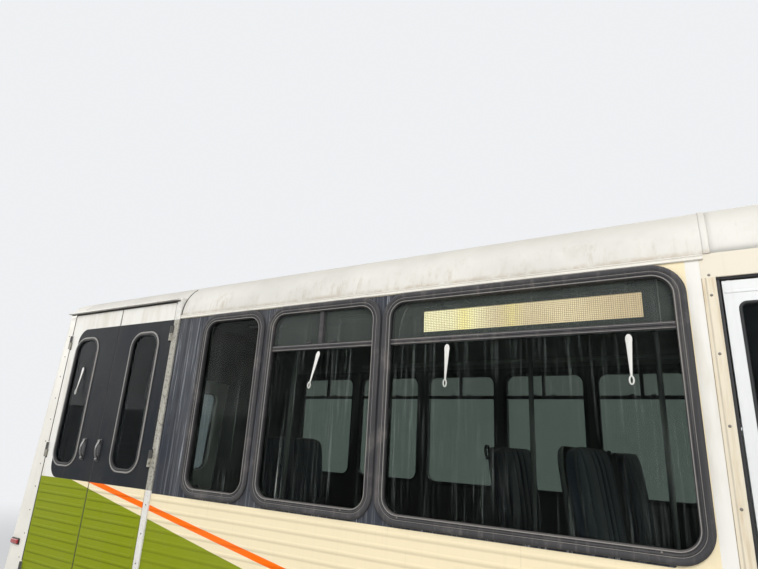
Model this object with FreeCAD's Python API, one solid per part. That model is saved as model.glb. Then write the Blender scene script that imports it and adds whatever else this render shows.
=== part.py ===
import FreeCAD, Part
import math
import os

# A cutaway minibus with a wheelchair lift door. Millimetres, X forward, Y to the left, Z up,
# origin on the ground at the middle of its length and width.

V = FreeCAD.Vector
os.makedirs("parts", exist_ok=True)

# driving dimensions
lift_to_axle = 703.0          # front edge of the lift doorway to the rear axle
front_overhang = 800.0        # front axle to the bumper's face
cab_reach = 1473.0            # front axle back to the back of the cab
body_length = 4125.0          # back of the cab to the rear skin, at rake_z
rear_bumper_reach = 90.0      # rear skin at rake_z to the bumper's face
body_width = 2438.0
cab_width = 2016.0
wall = 40.0                   # whole side wall, roof and rear wall
cab_wall = 30.0               # cab and front cap panels
skirt_z = 420.0
floor_thick = 60.0
rail_over_axle = 158.0        # axle's middle to the underside of the frame rails
frame_height = 170.0
outrigger_h = 27.0            # rails to the floor's underside
drip_z = 2450.0               # top of the upright side, where the roof's cove starts
cove_r = 233.0
cove_sweep = 80.0             # degrees of the cove before the crown
rake = 3.9                    # degrees that the rear leans forward
rake_z = 1300.0
corner_r = 120.0
roof_tail_r = 180.0
panel_gap = 6.0               # round every door
seat_gap = 0.3                # between pieces that seat in each other

# window bands
window_z0, window_z1 = 1448.0, 2428.0
window_r = 112.0
frame_band = 42.0             # width of the rubber and frame, seen from outside
frame_lap = 12.0              # how far it laps over the wall
frame_proud = 7.0
divider_z, divider_h = 2207.0, 28.0
mullion_w = 26.0
glass_thick = 6.0
glass_inset = 14.0

# lift doorway, in the right side at the rear
lift_from_rear = 255.0        # rear skin to the doorway's rear edge, at the cap's seam
lift_width = 1135.0           # to the front edge of the hinge trim
lift_trim = 45.0
lift_rear_jamb = 5.0
lift_rear_half = 550.0        # rear edge to the seam between the leaves
lift_rear_window = (223.0, 244.0)        # middle ahead of the doorway's rear edge, width
lift_front_window = (295.0, 250.0)       # middle ahead of the seam, width
lift_hinge_heights = (206.0, 926.0, 1646.0)
lift_z0, lift_z1 = 694.0, 2539.0
lift_door_thick = 44.0
seam_half = 5.5               # half the gap where two leaves meet
lift_proud = 8.0
lift_glass_z0, lift_glass_z1 = 1540.0, 2352.0
lift_glass_r = 84.0
hinge_length, hinge_room = 90.0, 14.0     # the room is a radius, cut for the moving barrel

# entry doorway, in the right side behind the front wheel
entry_setback = 10.0          # cab's back to the doorway's rear edge
entry_front_reach = 593.0     # doorway's front edge to the front axle
entry_rear_post, entry_front_post = 43.0, 60.0
entry_z0, entry_z1 = 345.0, 2363.0
entry_frame_z0 = 315.0
entry_sill_gap, entry_head_gap = 10.0, 14.0
entry_leaf_thick = 30.0
entry_recess = 12.0
entry_side_gap = 15.0
entry_pivot_inset = 20.0
entry_rail = 42.0
entry_lower_z1, entry_upper_z0 = 1180.0, 1240.0   # the bar between a leaf's two panes

# rear door and roof hatch
rear_door_w = 900.0
rear_door_z0, rear_door_z1 = 800.0, 2262.0
rear_leaf_thick = 40.0
rear_lower_pane, rear_upper_pane = (960.0, 1340.0), (1470.0, 2150.0)
rear_pane_half = 340.0
rear_hinge_heights = (150.0, 730.0, 1310.0)
hatch_from_cab = 1671.0       # cab's back to the hatch's middle
hatch_half = 300.0
hatch_curb = 24.0
hatch_hinge_y = 180.0

# wheels
tyre_r, tyre_w = 372.0, 225.0
rim_r = 203.0
front_track_y = 881.5
dual_y, dual_half = 955.0, 148.0
kingpin_y = 790.0
arch_r = 452.0
axle_tube_r, pipe_r, pipe_clear = 48.0, 34.0, 26.0

# cab
hood_back = 110.0             # bumper's face to the front panels
bumper_z0, bumper_z1 = 450.0, 640.0
rear_bumper_z0, rear_bumper_z1, rear_bumper_depth = 430.0, 590.0, 130.0
rear_skirt_z = 600.0
belt_z = 1300.0
cab_bottom = 480.0
cab_door_z0, cab_door_z1 = 520.0, 1990.0
cab_hinge_heights = (240.0, 630.0)
hood_inset, lamp_inset, grille_inset = 208.0, 148.0, 508.0   # in from the cab's side
hood_seam = 6.0
hood_rear_gap = 12.0
hood_low = 1045.0
lamp_z0, lamp_z1 = 700.0, 1015.0
screen_inset = 218.0
grille_rows, grille_columns = 3, 8

# inside
seat_width, seat_wall_gap, seat_pitch = 880.0, 59.0, 760.0
cushion_h, cushion_thick, back_h = 330.0, 100.0, 580.0
seat_depth, leg_w = 440.0, 40.0
rail_inset_y, rail_h = 430.0, 1593.0      # grab rails, out from the middle and up from the floor
rail_r, bracket_r = 16.0, 12.0
stanchion_y = 222.0
engine_w, engine_h, gearbox_w = 450.0, 490.0, 320.0
driver_y = 520.0
wheel_z, column_tilt = 1290.0, 38.0
plate_hole_y, plate_hole_r = 89.0, 3.5
plate_front_z, plate_rear_z = 590.0, 520.0
tail_lamp_z = 980.0

# derived places
overall = front_overhang + cab_reach + body_length + rear_bumper_reach
x_tail = -overall / 2
x_rear = x_tail + rear_bumper_reach
x_cab_back = x_rear + body_length
x_front_axle = x_cab_back + cab_reach
x_rear_axle = x_rear + lift_from_rear + lift_width + lift_to_axle
x_nose = x_front_axle + front_overhang
half = body_width / 2
cab_half = cab_width / 2
axle_z = tyre_r
crown_r = (half - cove_r + cove_r * math.cos(math.radians(cove_sweep))) / math.sin(math.radians(90 - cove_sweep))
crown_z = (drip_z + cove_r * math.sin(math.radians(cove_sweep))
           + crown_r * (1 - math.cos(math.radians(90 - cove_sweep))))
rail_z0 = axle_z + rail_over_axle
rail_z1 = rail_z0 + frame_height
floor_bottom = rail_z1 + outrigger_h
floor_z = floor_bottom + floor_thick
lift_x0 = x_rear + lift_from_rear
lift_x1 = lift_x0 + lift_width
lift_seam_x = lift_x0 + lift_rear_half
entry_x0 = x_cab_back + entry_setback
entry_x1 = x_front_axle - entry_front_reach
entry_frame_x0, entry_frame_x1 = entry_x0 - entry_rear_post, entry_x1 + entry_front_post
hatch_x = x_cab_back - hatch_from_cab
hood_front_x = x_nose - hood_back
cowl_x, cowl_z = x_front_axle + 116.0, 1340.0
header_x, header_z = x_front_axle - 514.0, 2040.0
door_x0, door_x1 = x_cab_back + 80.0, x_front_axle - 462.0
hood_half, lamp_half, grille_half = cab_half - hood_inset, cab_half - lamp_inset, cab_half - grille_inset
hood_x0 = cowl_x + 18.0
hood_pivot = (hood_x0 - 2, cowl_z - 10.0)
wheel_x = x_front_axle - 420.0
firewall_x = x_front_axle - 70.0
house_y, house_thick = 540.0, 8.0         # front wheel houses, inward from the cab's side
engine_z0 = rail_z0 + 30.0
frame_rail_y = 430.0
rail_tail = x_tail + rear_bumper_depth + seat_gap
cross_z0 = rail_z0 + 80.0
cross_members = (x_rear + 204, x_rear_axle - 1189, x_rear_axle - 439, x_rear_axle + 501, x_front_axle - 2144,
                 x_front_axle - 1444, x_front_axle + 506)
outriggers = (x_rear + 454, x_rear_axle - 1139, x_rear_axle - 589, x_rear_axle + 611, x_cab_back - 771, x_cab_back - 271)
wheel_box_half = 430.0        # of the boxes over the rear wheels, along the bus
entry_well_y = 560.0          # out from the middle to the riser of the entry's top step

# side windows, each as middle along the bus, width over the rubber, divided across the top, upper pane split
small_window_w, window_w = 485.0, 700.0
window_gaps = (220.0, 20.0, 10.0, 47.0)   # from the lift's trim forward to the entry frame
window_x0 = lift_x1 + window_gaps[0]
window_x1 = window_x0 + small_window_w + window_gaps[1]
window_x2 = window_x1 + window_w + window_gaps[2]
window_x3 = entry_frame_x0 - window_gaps[3]
RIGHT_WINDOWS = [(window_x0 + small_window_w / 2, small_window_w, False, False),
                 (window_x1 + window_w / 2, window_w, True, True),
                 ((window_x2 + window_x3) / 2, window_x3 - window_x2, True, False)]
left_gap, left_from_cab, left_from_rear = 30.0, 101.0, 40.0
left_pitch = window_w + left_gap
left_count = int((x_cab_back - left_from_cab - lift_x0 - left_from_rear + left_gap) / left_pitch)
LEFT_WINDOWS = [(x_cab_back - left_from_cab - window_w / 2 - left_pitch * i, window_w, True, True)
                for i in range(left_count)]

PLANES = {"xy": lambda u, v, w: V(u, v, w), "xz": lambda u, v, w: V(u, w, v), "yz": lambda u, v, w: V(w, u, v)}


def box(x0, x1, y0, y1, z0, z1):
    return Part.makeBox(x1 - x0, y1 - y0, z1 - z0, V(x0, y0, z0))


def rod(a, b, r):
    """A round bar from point a to point b."""
    a, b = V(*a), V(*b)
    return Part.makeCylinder(r, (b - a).Length, a, b - a)


def fuse(shapes):
    joined = shapes[0].multiFuse(shapes[1:]) if len(shapes) > 1 else shapes[0]
    return joined.removeSplitter()


def wire(points, plane, w):
    """A closed outline of (u, v) or (u, v, corner radius) points, with each rounded corner an arc."""
    n = len(points)
    spots = []
    for i in range(n):
        p = V(points[i][0], points[i][1], 0)
        r = points[i][2] if len(points[i]) > 2 else 0.0
        if r <= 0:
            spots.append((p, None, p))
            continue
        to_last = (V(points[i - 1][0], points[i - 1][1], 0) - p).normalize()
        to_next = (V(points[(i + 1) % n][0], points[(i + 1) % n][1], 0) - p).normalize()
        half_angle = to_last.getAngle(to_next) / 2
        reach = r / math.tan(half_angle)
        middle = p + (to_last + to_next).normalize() * (r / math.sin(half_angle))
        top = middle + (p - middle).normalize() * r
        spots.append((p + to_last * reach, top, p + to_next * reach))
    place = PLANES[plane]
    edges = []
    for i in range(n):
        start, top, end = (place(s.x, s.y, w) if s is not None else None for s in spots[i])
        if top is not None:
            edges.append(Part.Arc(start, top, end).toShape())
        following = spots[(i + 1) % n][0]
        following = place(following.x, following.y, w)
        if end.distanceToPoint(following) > 1e-6:
            edges.append(Part.LineSegment(end, following).toShape())
    return Part.Wire(edges)


def prism(points, plane, a, b):
    """The outline pushed along the plane's third axis, from a to b."""
    push = PLANES[plane](0, 0, b - a)
    return Part.Face(wire(points, plane, a)).extrude(push)


def rounded(x0, x1, z0, z1, r):
    return [(x0, z0, r), (x1, z0, r), (x1, z1, r), (x0, z1, r)]


def common(*shapes):
    result = shapes[0]
    for shape in shapes[1:]:
        result = result.common(shape)
    return result


def turned(shape, angle, centre, axis=(0, 0, 1)):
    copy = shape.copy()
    copy.rotate(V(*centre), V(*axis), angle)
    return copy


def mirrored(shape):
    """The same piece on the other side of the bus."""
    return shape.mirror(V(0, 0, 0), V(0, 1, 0))


def hinge(pivot, length, fixed_way, moving_way, reach=(26.0, 26.0), axis="z", r=9.0):
    """A hinge on the line through pivot: its fixed knuckle with pin, its moving barrel, and the notch for the knuckle.

    fixed_way and moving_way say on which side of the pivot each strap lies, as unit steps in the plane square
    to the axis."""
    straps = []
    for way, far in ((fixed_way, reach[0]), (moving_way, reach[1])):
        u, v = way
        lo = [min(0, u * far) - (4 if u == 0 else 0), min(0, v * far) - (4 if v == 0 else 0)]
        hi = [max(0, u * far) + (4 if u == 0 else 0), max(0, v * far) + (4 if v == 0 else 0)]
        straps.append((lo, hi))
    half_length, g = length / 2, 0.3

    def along(lo, hi, a, b):
        if axis == "z":
            return box(pivot[0] + lo[0], pivot[0] + hi[0], pivot[1] + lo[1], pivot[1] + hi[1], pivot[2] + a, pivot[2] + b)
        return box(pivot[0] + lo[0], pivot[0] + hi[0], pivot[1] + a, pivot[1] + b, pivot[2] + lo[1], pivot[2] + hi[1])

    def barrel(radius, a, b):
        step = (0, 0, 1) if axis == "z" else (0, 1, 0)
        return rod([p + a * k for p, k in zip(pivot, step)], [p + b * k for p, k in zip(pivot, step)], radius)
    knuckle = fuse([barrel(r, -half_length, -g), barrel(r / 2, -half_length, half_length),
                    along(*straps[0], -half_length, -g)])
    sleeve = fuse([barrel(r, 0, half_length), along(*straps[1], 0, half_length)]).cut(barrel(r / 2 + 0.05, -1, half_length + 1))
    notch = fuse([barrel(r + 6, -half_length - 6, 0), barrel(r / 2 + 0.05, -1, half_length + 1)])
    return knuckle, sleeve, notch


def lean(shape):
    """Leans an upright piece of the rear forward by the rake."""
    return turned(shape, rake, (x_rear, 0, rake_z), (0, 1, 0))


def save(name, *shapes):
    solids = [s for shape in shapes for s in shape.Solids]
    whole = solids[0] if len(solids) == 1 else Part.makeCompound(solids)
    if not whole.isValid():
        print("not valid:", name)
    whole.exportStep("parts/" + name + ".step")
    print(name, len(solids), round(sum(s.Volume for s in solids) / 1e6, 2))


# the body's outline


def roof_section(inset, z_low, fairing=None):
    """Across the body: upright sides, a round cove and a shallow crown. fairing tucks the sides in under a height."""
    side, r, big = half - inset, cove_r - inset, crown_r - inset
    sweep = math.radians(cove_sweep)
    eave = V(0, side, drip_z)
    cove_mid = V(0, half - cove_r + r * math.cos(sweep / 2), drip_z + r * math.sin(sweep / 2))
    crown_edge = V(0, half - cove_r + r * math.cos(sweep), drip_z + r * math.sin(sweep))
    crown = V(0, 0, crown_z - inset)
    lower = [V(0, side, z_low)]
    if fairing:
        lower = [V(0, fairing[0] - inset, fairing[1]), V(0, side, fairing[2])]

    def flip(p):
        return V(0, -p.y, p.z)
    left = lower + [eave]
    edges = [Part.LineSegment(left[i], left[i + 1]).toShape() for i in range(len(left) - 1)]
    edges.append(Part.Arc(eave, cove_mid, crown_edge).toShape())
    edges.append(Part.Arc(crown_edge, crown, flip(crown_edge)).toShape())
    edges.append(Part.Arc(flip(crown_edge), flip(cove_mid), flip(eave)).toShape())
    right = [flip(p) for p in reversed(left)]
    edges += [Part.LineSegment(right[i], right[i + 1]).toShape() for i in range(len(right) - 1)]
    edges.append(Part.LineSegment(right[-1], left[0]).toShape())
    return Part.Wire(edges)


def across(section, x0, x1):
    section.translate(V(x0, 0, 0))
    return Part.Face(section).extrude(V(x1 - x0, 0, 0))


def body_hull(inset):
    """The saloon's outer form, or its inner one, from the cab's back to the raked and rounded rear."""
    z_low = skirt_z if inset == 0 else skirt_z - 200
    long_rear = x_rear - 400
    section = across(roof_section(inset, z_low), long_rear, x_cab_back)
    plan = prism([(x_rear + inset, -half + inset, corner_r - inset), (x_rear + inset, half - inset, corner_r - inset),
                  (x_cab_back + 600, half - inset), (x_cab_back + 600, -half + inset)], "xy", skirt_z - 600, crown_z + 600)
    tilt = math.radians(rake)
    tail = prism([(x_rear + inset - 2 - math.tan(tilt) * (rake_z - z_low + 100), z_low - 100),
                  (x_rear + inset - 2 + math.tan(tilt) * (crown_z - rake_z), crown_z - inset + 2, roof_tail_r),
                  (x_cab_back + 600, crown_z - inset + 2), (x_cab_back + 600, z_low - 100)], "xz", -half - 50, half + 50)
    return common(section, lean(plan), tail)


def window_cuts(table, side):
    """The holes in a side wall, one for each window."""
    y = side * half
    cuts = []
    for centre, width, _, _ in table:
        cuts.append(prism(rounded(centre - width / 2 + frame_lap, centre + width / 2 - frame_lap,
                                  window_z0 + frame_lap, window_z1 - frame_lap, window_r - frame_lap),
                          "xz", y - wall - 60, y + wall + 60))
    return cuts



def window_set(table, side):
    """Frames and panes of one side."""
    frames, panes = [], []
    face = side * half
    for centre, width, divided, split in table:
        x0, x1 = centre - width / 2, centre + width / 2
        clear = frame_lap + seat_gap
        plug = prism(rounded(x0 + clear, x1 - clear, window_z0 + clear, window_z1 - clear, window_r - clear),
                     "xz", face - side * wall, face)
        flange = prism(rounded(x0, x1, window_z0, window_z1, window_r), "xz", face, face + side * frame_proud)
        hole = prism(rounded(x0 + frame_band, x1 - frame_band, window_z0 + frame_band, window_z1 - frame_band,
                             window_r - frame_band), "xz", face - side * wall * 2, face + side * wall)
        bars = []
        if divided:
            bars.append((x0, x1, divider_z - divider_h / 2, divider_z + divider_h / 2))
        if split:
            bars.append((centre - mullion_w / 2, centre + mullion_w / 2, divider_z, window_z1))
        frame = plug.fuse(flange).cut(hole)
        y_out, y_in = face - side * 4, face - side * 30
        for bx0, bx1, bz0, bz1 in bars:
            frame = frame.fuse(box(bx0, bx1, min(y_in, y_out), max(y_in, y_out), bz0, bz1).common(hole))
        frames.append(frame.removeSplitter())
        g = seat_gap
        pane = prism(rounded(x0 + frame_band + g, x1 - frame_band - g, window_z0 + frame_band + g,
                             window_z1 - frame_band - g, window_r - frame_band - g),
                     "xz", face - side * glass_inset, face - side * (glass_inset + glass_thick))
        for bx0, bx1, bz0, bz1 in bars:
            pane = pane.cut(box(bx0 - g, bx1 + g, min(face, y_in) - 60, max(face, y_in) + 60, bz0 - g, bz1 + g))
        panes += pane.Solids
    return frames, panes


def arch_cut(x, y0, y1):
    return rod((x, y0, axle_z), (x, y1, axle_z), arch_r)


def body_panels():
    shell = body_hull(0).cut(body_hull(wall))
    big = 4000.0
    rear_arches = arch_cut(x_rear_axle, -half - 100, half + 100)
    lift_cut = box(lift_x0 - 1, lift_x1, -half - 100, -half + 90, lift_z0 - 34, lift_z1 + 21)

    cap = shell.common(box(-big, lift_x0, -big, big, 0, big))
    cap = cap.cut(lean(box(x_rear - 60, x_rear + wall + 60, -rear_door_w / 2, rear_door_w / 2, rear_door_z0, rear_door_z1)))
    cap = cap.cut(box(-big, x_rear + 100, -big, big, 0, rear_skirt_z))
    save("rear_cap", fuse([cap] + rear_door()))

    right = shell.common(box(lift_x0, entry_frame_x0, -big, -half + wall + 1, 0, drip_z))
    right = right.cut(lift_cut).cut(rear_arches)
    for cut in window_cuts(RIGHT_WINDOWS, -1):
        right = right.cut(cut)
    save("right_side", right)

    left = shell.common(box(lift_x0, x_cab_back, half - wall - 1, big, 0, drip_z)).cut(rear_arches)
    for cut in window_cuts(LEFT_WINDOWS, 1):
        left = left.cut(cut)
    save("left_side", left)

    roof = shell.common(box(lift_x0, x_cab_back, -big, big, drip_z, big)).cut(lift_cut)
    roof = roof.cut(box(hatch_x - hatch_half, hatch_x + hatch_half, -hatch_half, hatch_half, drip_z, big))
    h = hatch_half
    curb = box(hatch_x - h, hatch_x + h, -h, h, crown_z - wall - 8, crown_z + hatch_curb)
    curb = curb.cut(box(hatch_x - h + 30, hatch_x + h - 30, -h + 30, h - 30, 0, 4000))
    knuckles = []
    for y in (-hatch_hinge_y, hatch_hinge_y):
        knuckle = hinge((hatch_x + h + 20, y, crown_z + hatch_curb + 4), 80, (-1, 0), (0, 1), (10, 14), "y", 7)[0]
        knuckles += [knuckle, box(hatch_x + h - 2, hatch_x + h + 16, y - 40, y - 0.3, crown_z, crown_z + hatch_curb + 1)]
    save("roof", fuse([roof, curb] + knuckles))


def windows():
    right_frames, right_panes = window_set(RIGHT_WINDOWS, -1)
    left_frames, left_panes = window_set(LEFT_WINDOWS, 1)
    save("window_frames", *right_frames, *left_frames)
    save("window_panes", *right_panes, *left_panes)


def lift_doorway():
    """Trim round the lift doorway, with a drip rail over it, and its two leaves."""
    y_out, y_in = -half - lift_proud, -half + 68
    jamb = box(lift_x1 - lift_trim, lift_x1, y_out, -half + wall, lift_z0 - 34, lift_z1 + 21)
    header = box(lift_x0, lift_x1, y_out, y_in, lift_z1, lift_z1 + 21)
    sill = box(lift_x0, lift_x1, y_out, -half + wall, lift_z0 - 34, lift_z0)
    rear = box(lift_x0, lift_x0 + lift_rear_jamb, y_out, -half + wall, lift_z0 - 34, lift_z1 + 21)
    brow = box(lift_x0 - 66, lift_x1 - 16, -half - 34, y_out, lift_z1 + 6, lift_z1 + 15)
    frame = [jamb, header, sill, rear, brow]
    knuckles, room = [], []

    y0, y1 = -half - lift_proud, -half - lift_proud + lift_door_thick
    z0, z1 = lift_z0 + panel_gap, lift_z1 - panel_gap
    # name, rear edge, front edge, window's centre, window's width
    leaves = [("rear", lift_x0 + lift_rear_jamb + 5, lift_seam_x - seam_half, lift_x0 + lift_rear_window[0],
               lift_rear_window[1]),
              ("front", lift_seam_x + seam_half, lift_x1 - lift_trim - 5, lift_seam_x + lift_front_window[0],
               lift_front_window[1])]
    for name, x0, x1, centre, width in leaves:
        side = 1 if name == "front" else -1
        pivot_x = x1 if side > 0 else x0
        hole = prism(rounded(centre - width / 2, centre + width / 2, lift_glass_z0, lift_glass_z1, lift_glass_r),
                     "xz", y0 - 10, y1 + 10)
        leaf = box(x0, x1, y0, y1, z0, z1).cut(hole)
        for height in lift_hinge_heights:
            z = lift_z0 + height
            knuckle, sleeve, notch = hinge((pivot_x, y0 - 6, z), hinge_length, (0, 1), (0, 1), (12, 12))
            knuckle = fuse([knuckle, box(*sorted((pivot_x, pivot_x + side * 9)), y0 - 6, y0 + 6,
                                         z - hinge_length / 2, z - 0.3)])
            knuckles.append(knuckle)
            room.append(rod((pivot_x, y0 - 6, z - 0.3), (pivot_x, y0 - 6, z + hinge_length / 2 + 5), hinge_room))
            leaf = leaf.cut(notch).fuse(sleeve)
        save("lift_door_" + name, leaf.removeSplitter())
        g = seat_gap
        pane = prism(rounded(centre - width / 2 + g, centre + width / 2 - g, lift_glass_z0 + g, lift_glass_z1 - g,
                             lift_glass_r - g), "xz", y0 + 8, y0 + 8 + glass_thick)
        save("lift_glass_" + name, pane)
    save("lift_door_frame", fuse([fuse(frame).cut(Part.makeCompound(room))] + knuckles))


def entry_doorway():
    frame = box(entry_frame_x0, entry_frame_x1, -half, -half + wall, entry_frame_z0, drip_z)
    frame = frame.cut(box(entry_x0, entry_x1, -half - 10, -half + wall + 10, entry_z0, entry_z1))
    y0, y1 = -half + entry_recess, -half + entry_recess + entry_leaf_thick
    z0, z1 = entry_z0 + entry_sill_gap, entry_z1 - entry_head_gap
    middle = (entry_x0 + entry_x1) / 2
    for name, x0, x1 in (("rear", entry_x0 + entry_side_gap, middle - seam_half),
                         ("front", middle + seam_half, entry_x1 - entry_side_gap)):
        leaf = box(x0, x1, y0, y1, z0, z1)
        panes = []
        for pz0, pz1 in ((z0 + 60, entry_lower_z1), (entry_upper_z0, z1 - 78)):
            leaf = leaf.cut(prism(rounded(x0 + entry_rail, x1 - entry_rail, pz0, pz1, 22), "xz", y0 - 9, y1 + 9))
            g = seat_gap
            panes.append(prism(rounded(x0 + entry_rail + g, x1 - entry_rail - g, pz0 + g, pz1 - g, 22 - g), "xz",
                               y0 + 12, y0 + 12 + glass_thick))
        pin_x, pin_y = (x0 + entry_pivot_inset if name == "rear" else x1 - entry_pivot_inset), (y0 + y1) / 2
        for pin_z0, pin_z1 in ((entry_z0 - 18, z0 + 2), (z1 - 2, entry_z1 + 18)):
            leaf = leaf.fuse(rod((pin_x, pin_y, pin_z0), (pin_x, pin_y, pin_z1), 7))
        frame = frame.cut(rod((pin_x, pin_y, entry_z0 - 18.3), (pin_x, pin_y, entry_z1 + 18.3), 7.05))
        save("entry_door_" + name, leaf)
        save("entry_glass_" + name, *panes)
    save("entry_frame", frame)


def rear_door():
    """A single emergency door with an upper and a lower window, hinged on the right."""
    y = rear_door_w / 2 - panel_gap
    x0, x1 = x_rear - 4, x_rear - 4 + rear_leaf_thick
    leaf = box(x0, x1, -y, y, rear_door_z0 + panel_gap, rear_door_z1 - panel_gap)
    panes, fixed = [], []
    g = seat_gap
    w = rear_pane_half
    for pz0, pz1 in (rear_lower_pane, rear_upper_pane):
        leaf = leaf.cut(prism(rounded(-w, w, pz0, pz1, 60), "yz", x0 - 9, x1 + 9))
        panes.append(lean(prism(rounded(-w + g, w - g, pz0 + g, pz1 - g, 60), "yz", x0 + 10, x0 + 10 + glass_thick)))
    for height in rear_hinge_heights:
        z = rear_door_z0 + height
        knuckle, sleeve, notch = hinge((x0 - 6, -y, z), hinge_length, (0, -1), (1, 0), (24, 12))
        leaf = leaf.cut(notch).fuse(sleeve)
        fixed.append(lean(fuse([knuckle, box(x0 - 6, x_rear + 12, -y - 24, -y - 12, z - hinge_length / 2, z - 0.3)])))
    save("rear_door", lean(leaf.removeSplitter()))
    save("rear_door_glass", *panes)
    return fixed


def roof_hatch():
    h = hatch_half
    lid = box(hatch_x - h - 14, hatch_x + h + 14, -h - 14, h + 14, crown_z + hatch_curb + 6, crown_z + hatch_curb + 44)
    lid = lid.makeFillet(14, [e for e in lid.Edges if abs(e.BoundBox.ZLength) > 1 or e.BoundBox.ZMin > crown_z + hatch_curb + 30])
    for y in (-hatch_hinge_y, hatch_hinge_y):
        knuckle, sleeve, notch = hinge((hatch_x + h + 20, y, crown_z + hatch_curb + 4), 80, (-1, 0), (0, 1), (20, 14), "y", 7)
        sleeve = fuse([sleeve, box(hatch_x + h, hatch_x + h + 24, y, y + 40, crown_z + hatch_curb + 12, crown_z + hatch_curb + 24)])
        lid = lid.cut(notch).fuse(sleeve)
    save("roof_hatch", lid.removeSplitter())


# cab


def cab_hull(inset):
    front = hood_front_x - inset
    low = cab_bottom - (0 if inset == 0 else 200)
    slope = math.atan2(header_z - cowl_z, cowl_x - header_x)
    back = inset / math.sin(slope)
    side = prism([(x_cab_back, low), (front, low), (front, 1030 - inset, 60), (front - 40, 1130 - inset, 50),
                  (cowl_x - back / 2, cowl_z - inset), (header_x - back, header_z), (x_cab_back, header_z)],
                 "xz", -half, half)
    y = cab_half - inset
    plan = prism([(x_cab_back - 10, -y), (hood_front_x - 360, -y, 300), (hood_front_x + 8 - inset, -y + 150, 150),
                  (hood_front_x + 22 - inset, 0, 900), (hood_front_x + 8 - inset, y - 150, 150),
                  (hood_front_x - 360, y, 300), (x_cab_back - 10, y)], "xy", 0, 2600)
    top = cab_half - 150 - inset
    front_view = prism([(-y, low), (-y, belt_z, 300), (-top, header_z + 60), (top, header_z + 60),
                        (y, belt_z, 300), (y, low)], "yz", x_cab_back - 20, x_nose + 60)
    # on the right the cab widens to the entry door, with a slanted panel
    out = half - inset
    slant = (entry_frame_x1 - inset * 0.33, x_front_axle - 240 - inset * 0.33)
    wide = prism([(x_cab_back - 10, 0), (x_cab_back - 10, -out), (slant[0], -out), (slant[1], -y), (slant[1], 0)],
                 "xy", low, header_z)
    return fuse([common(side, plan, front_view), common(side, wide)])


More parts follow.
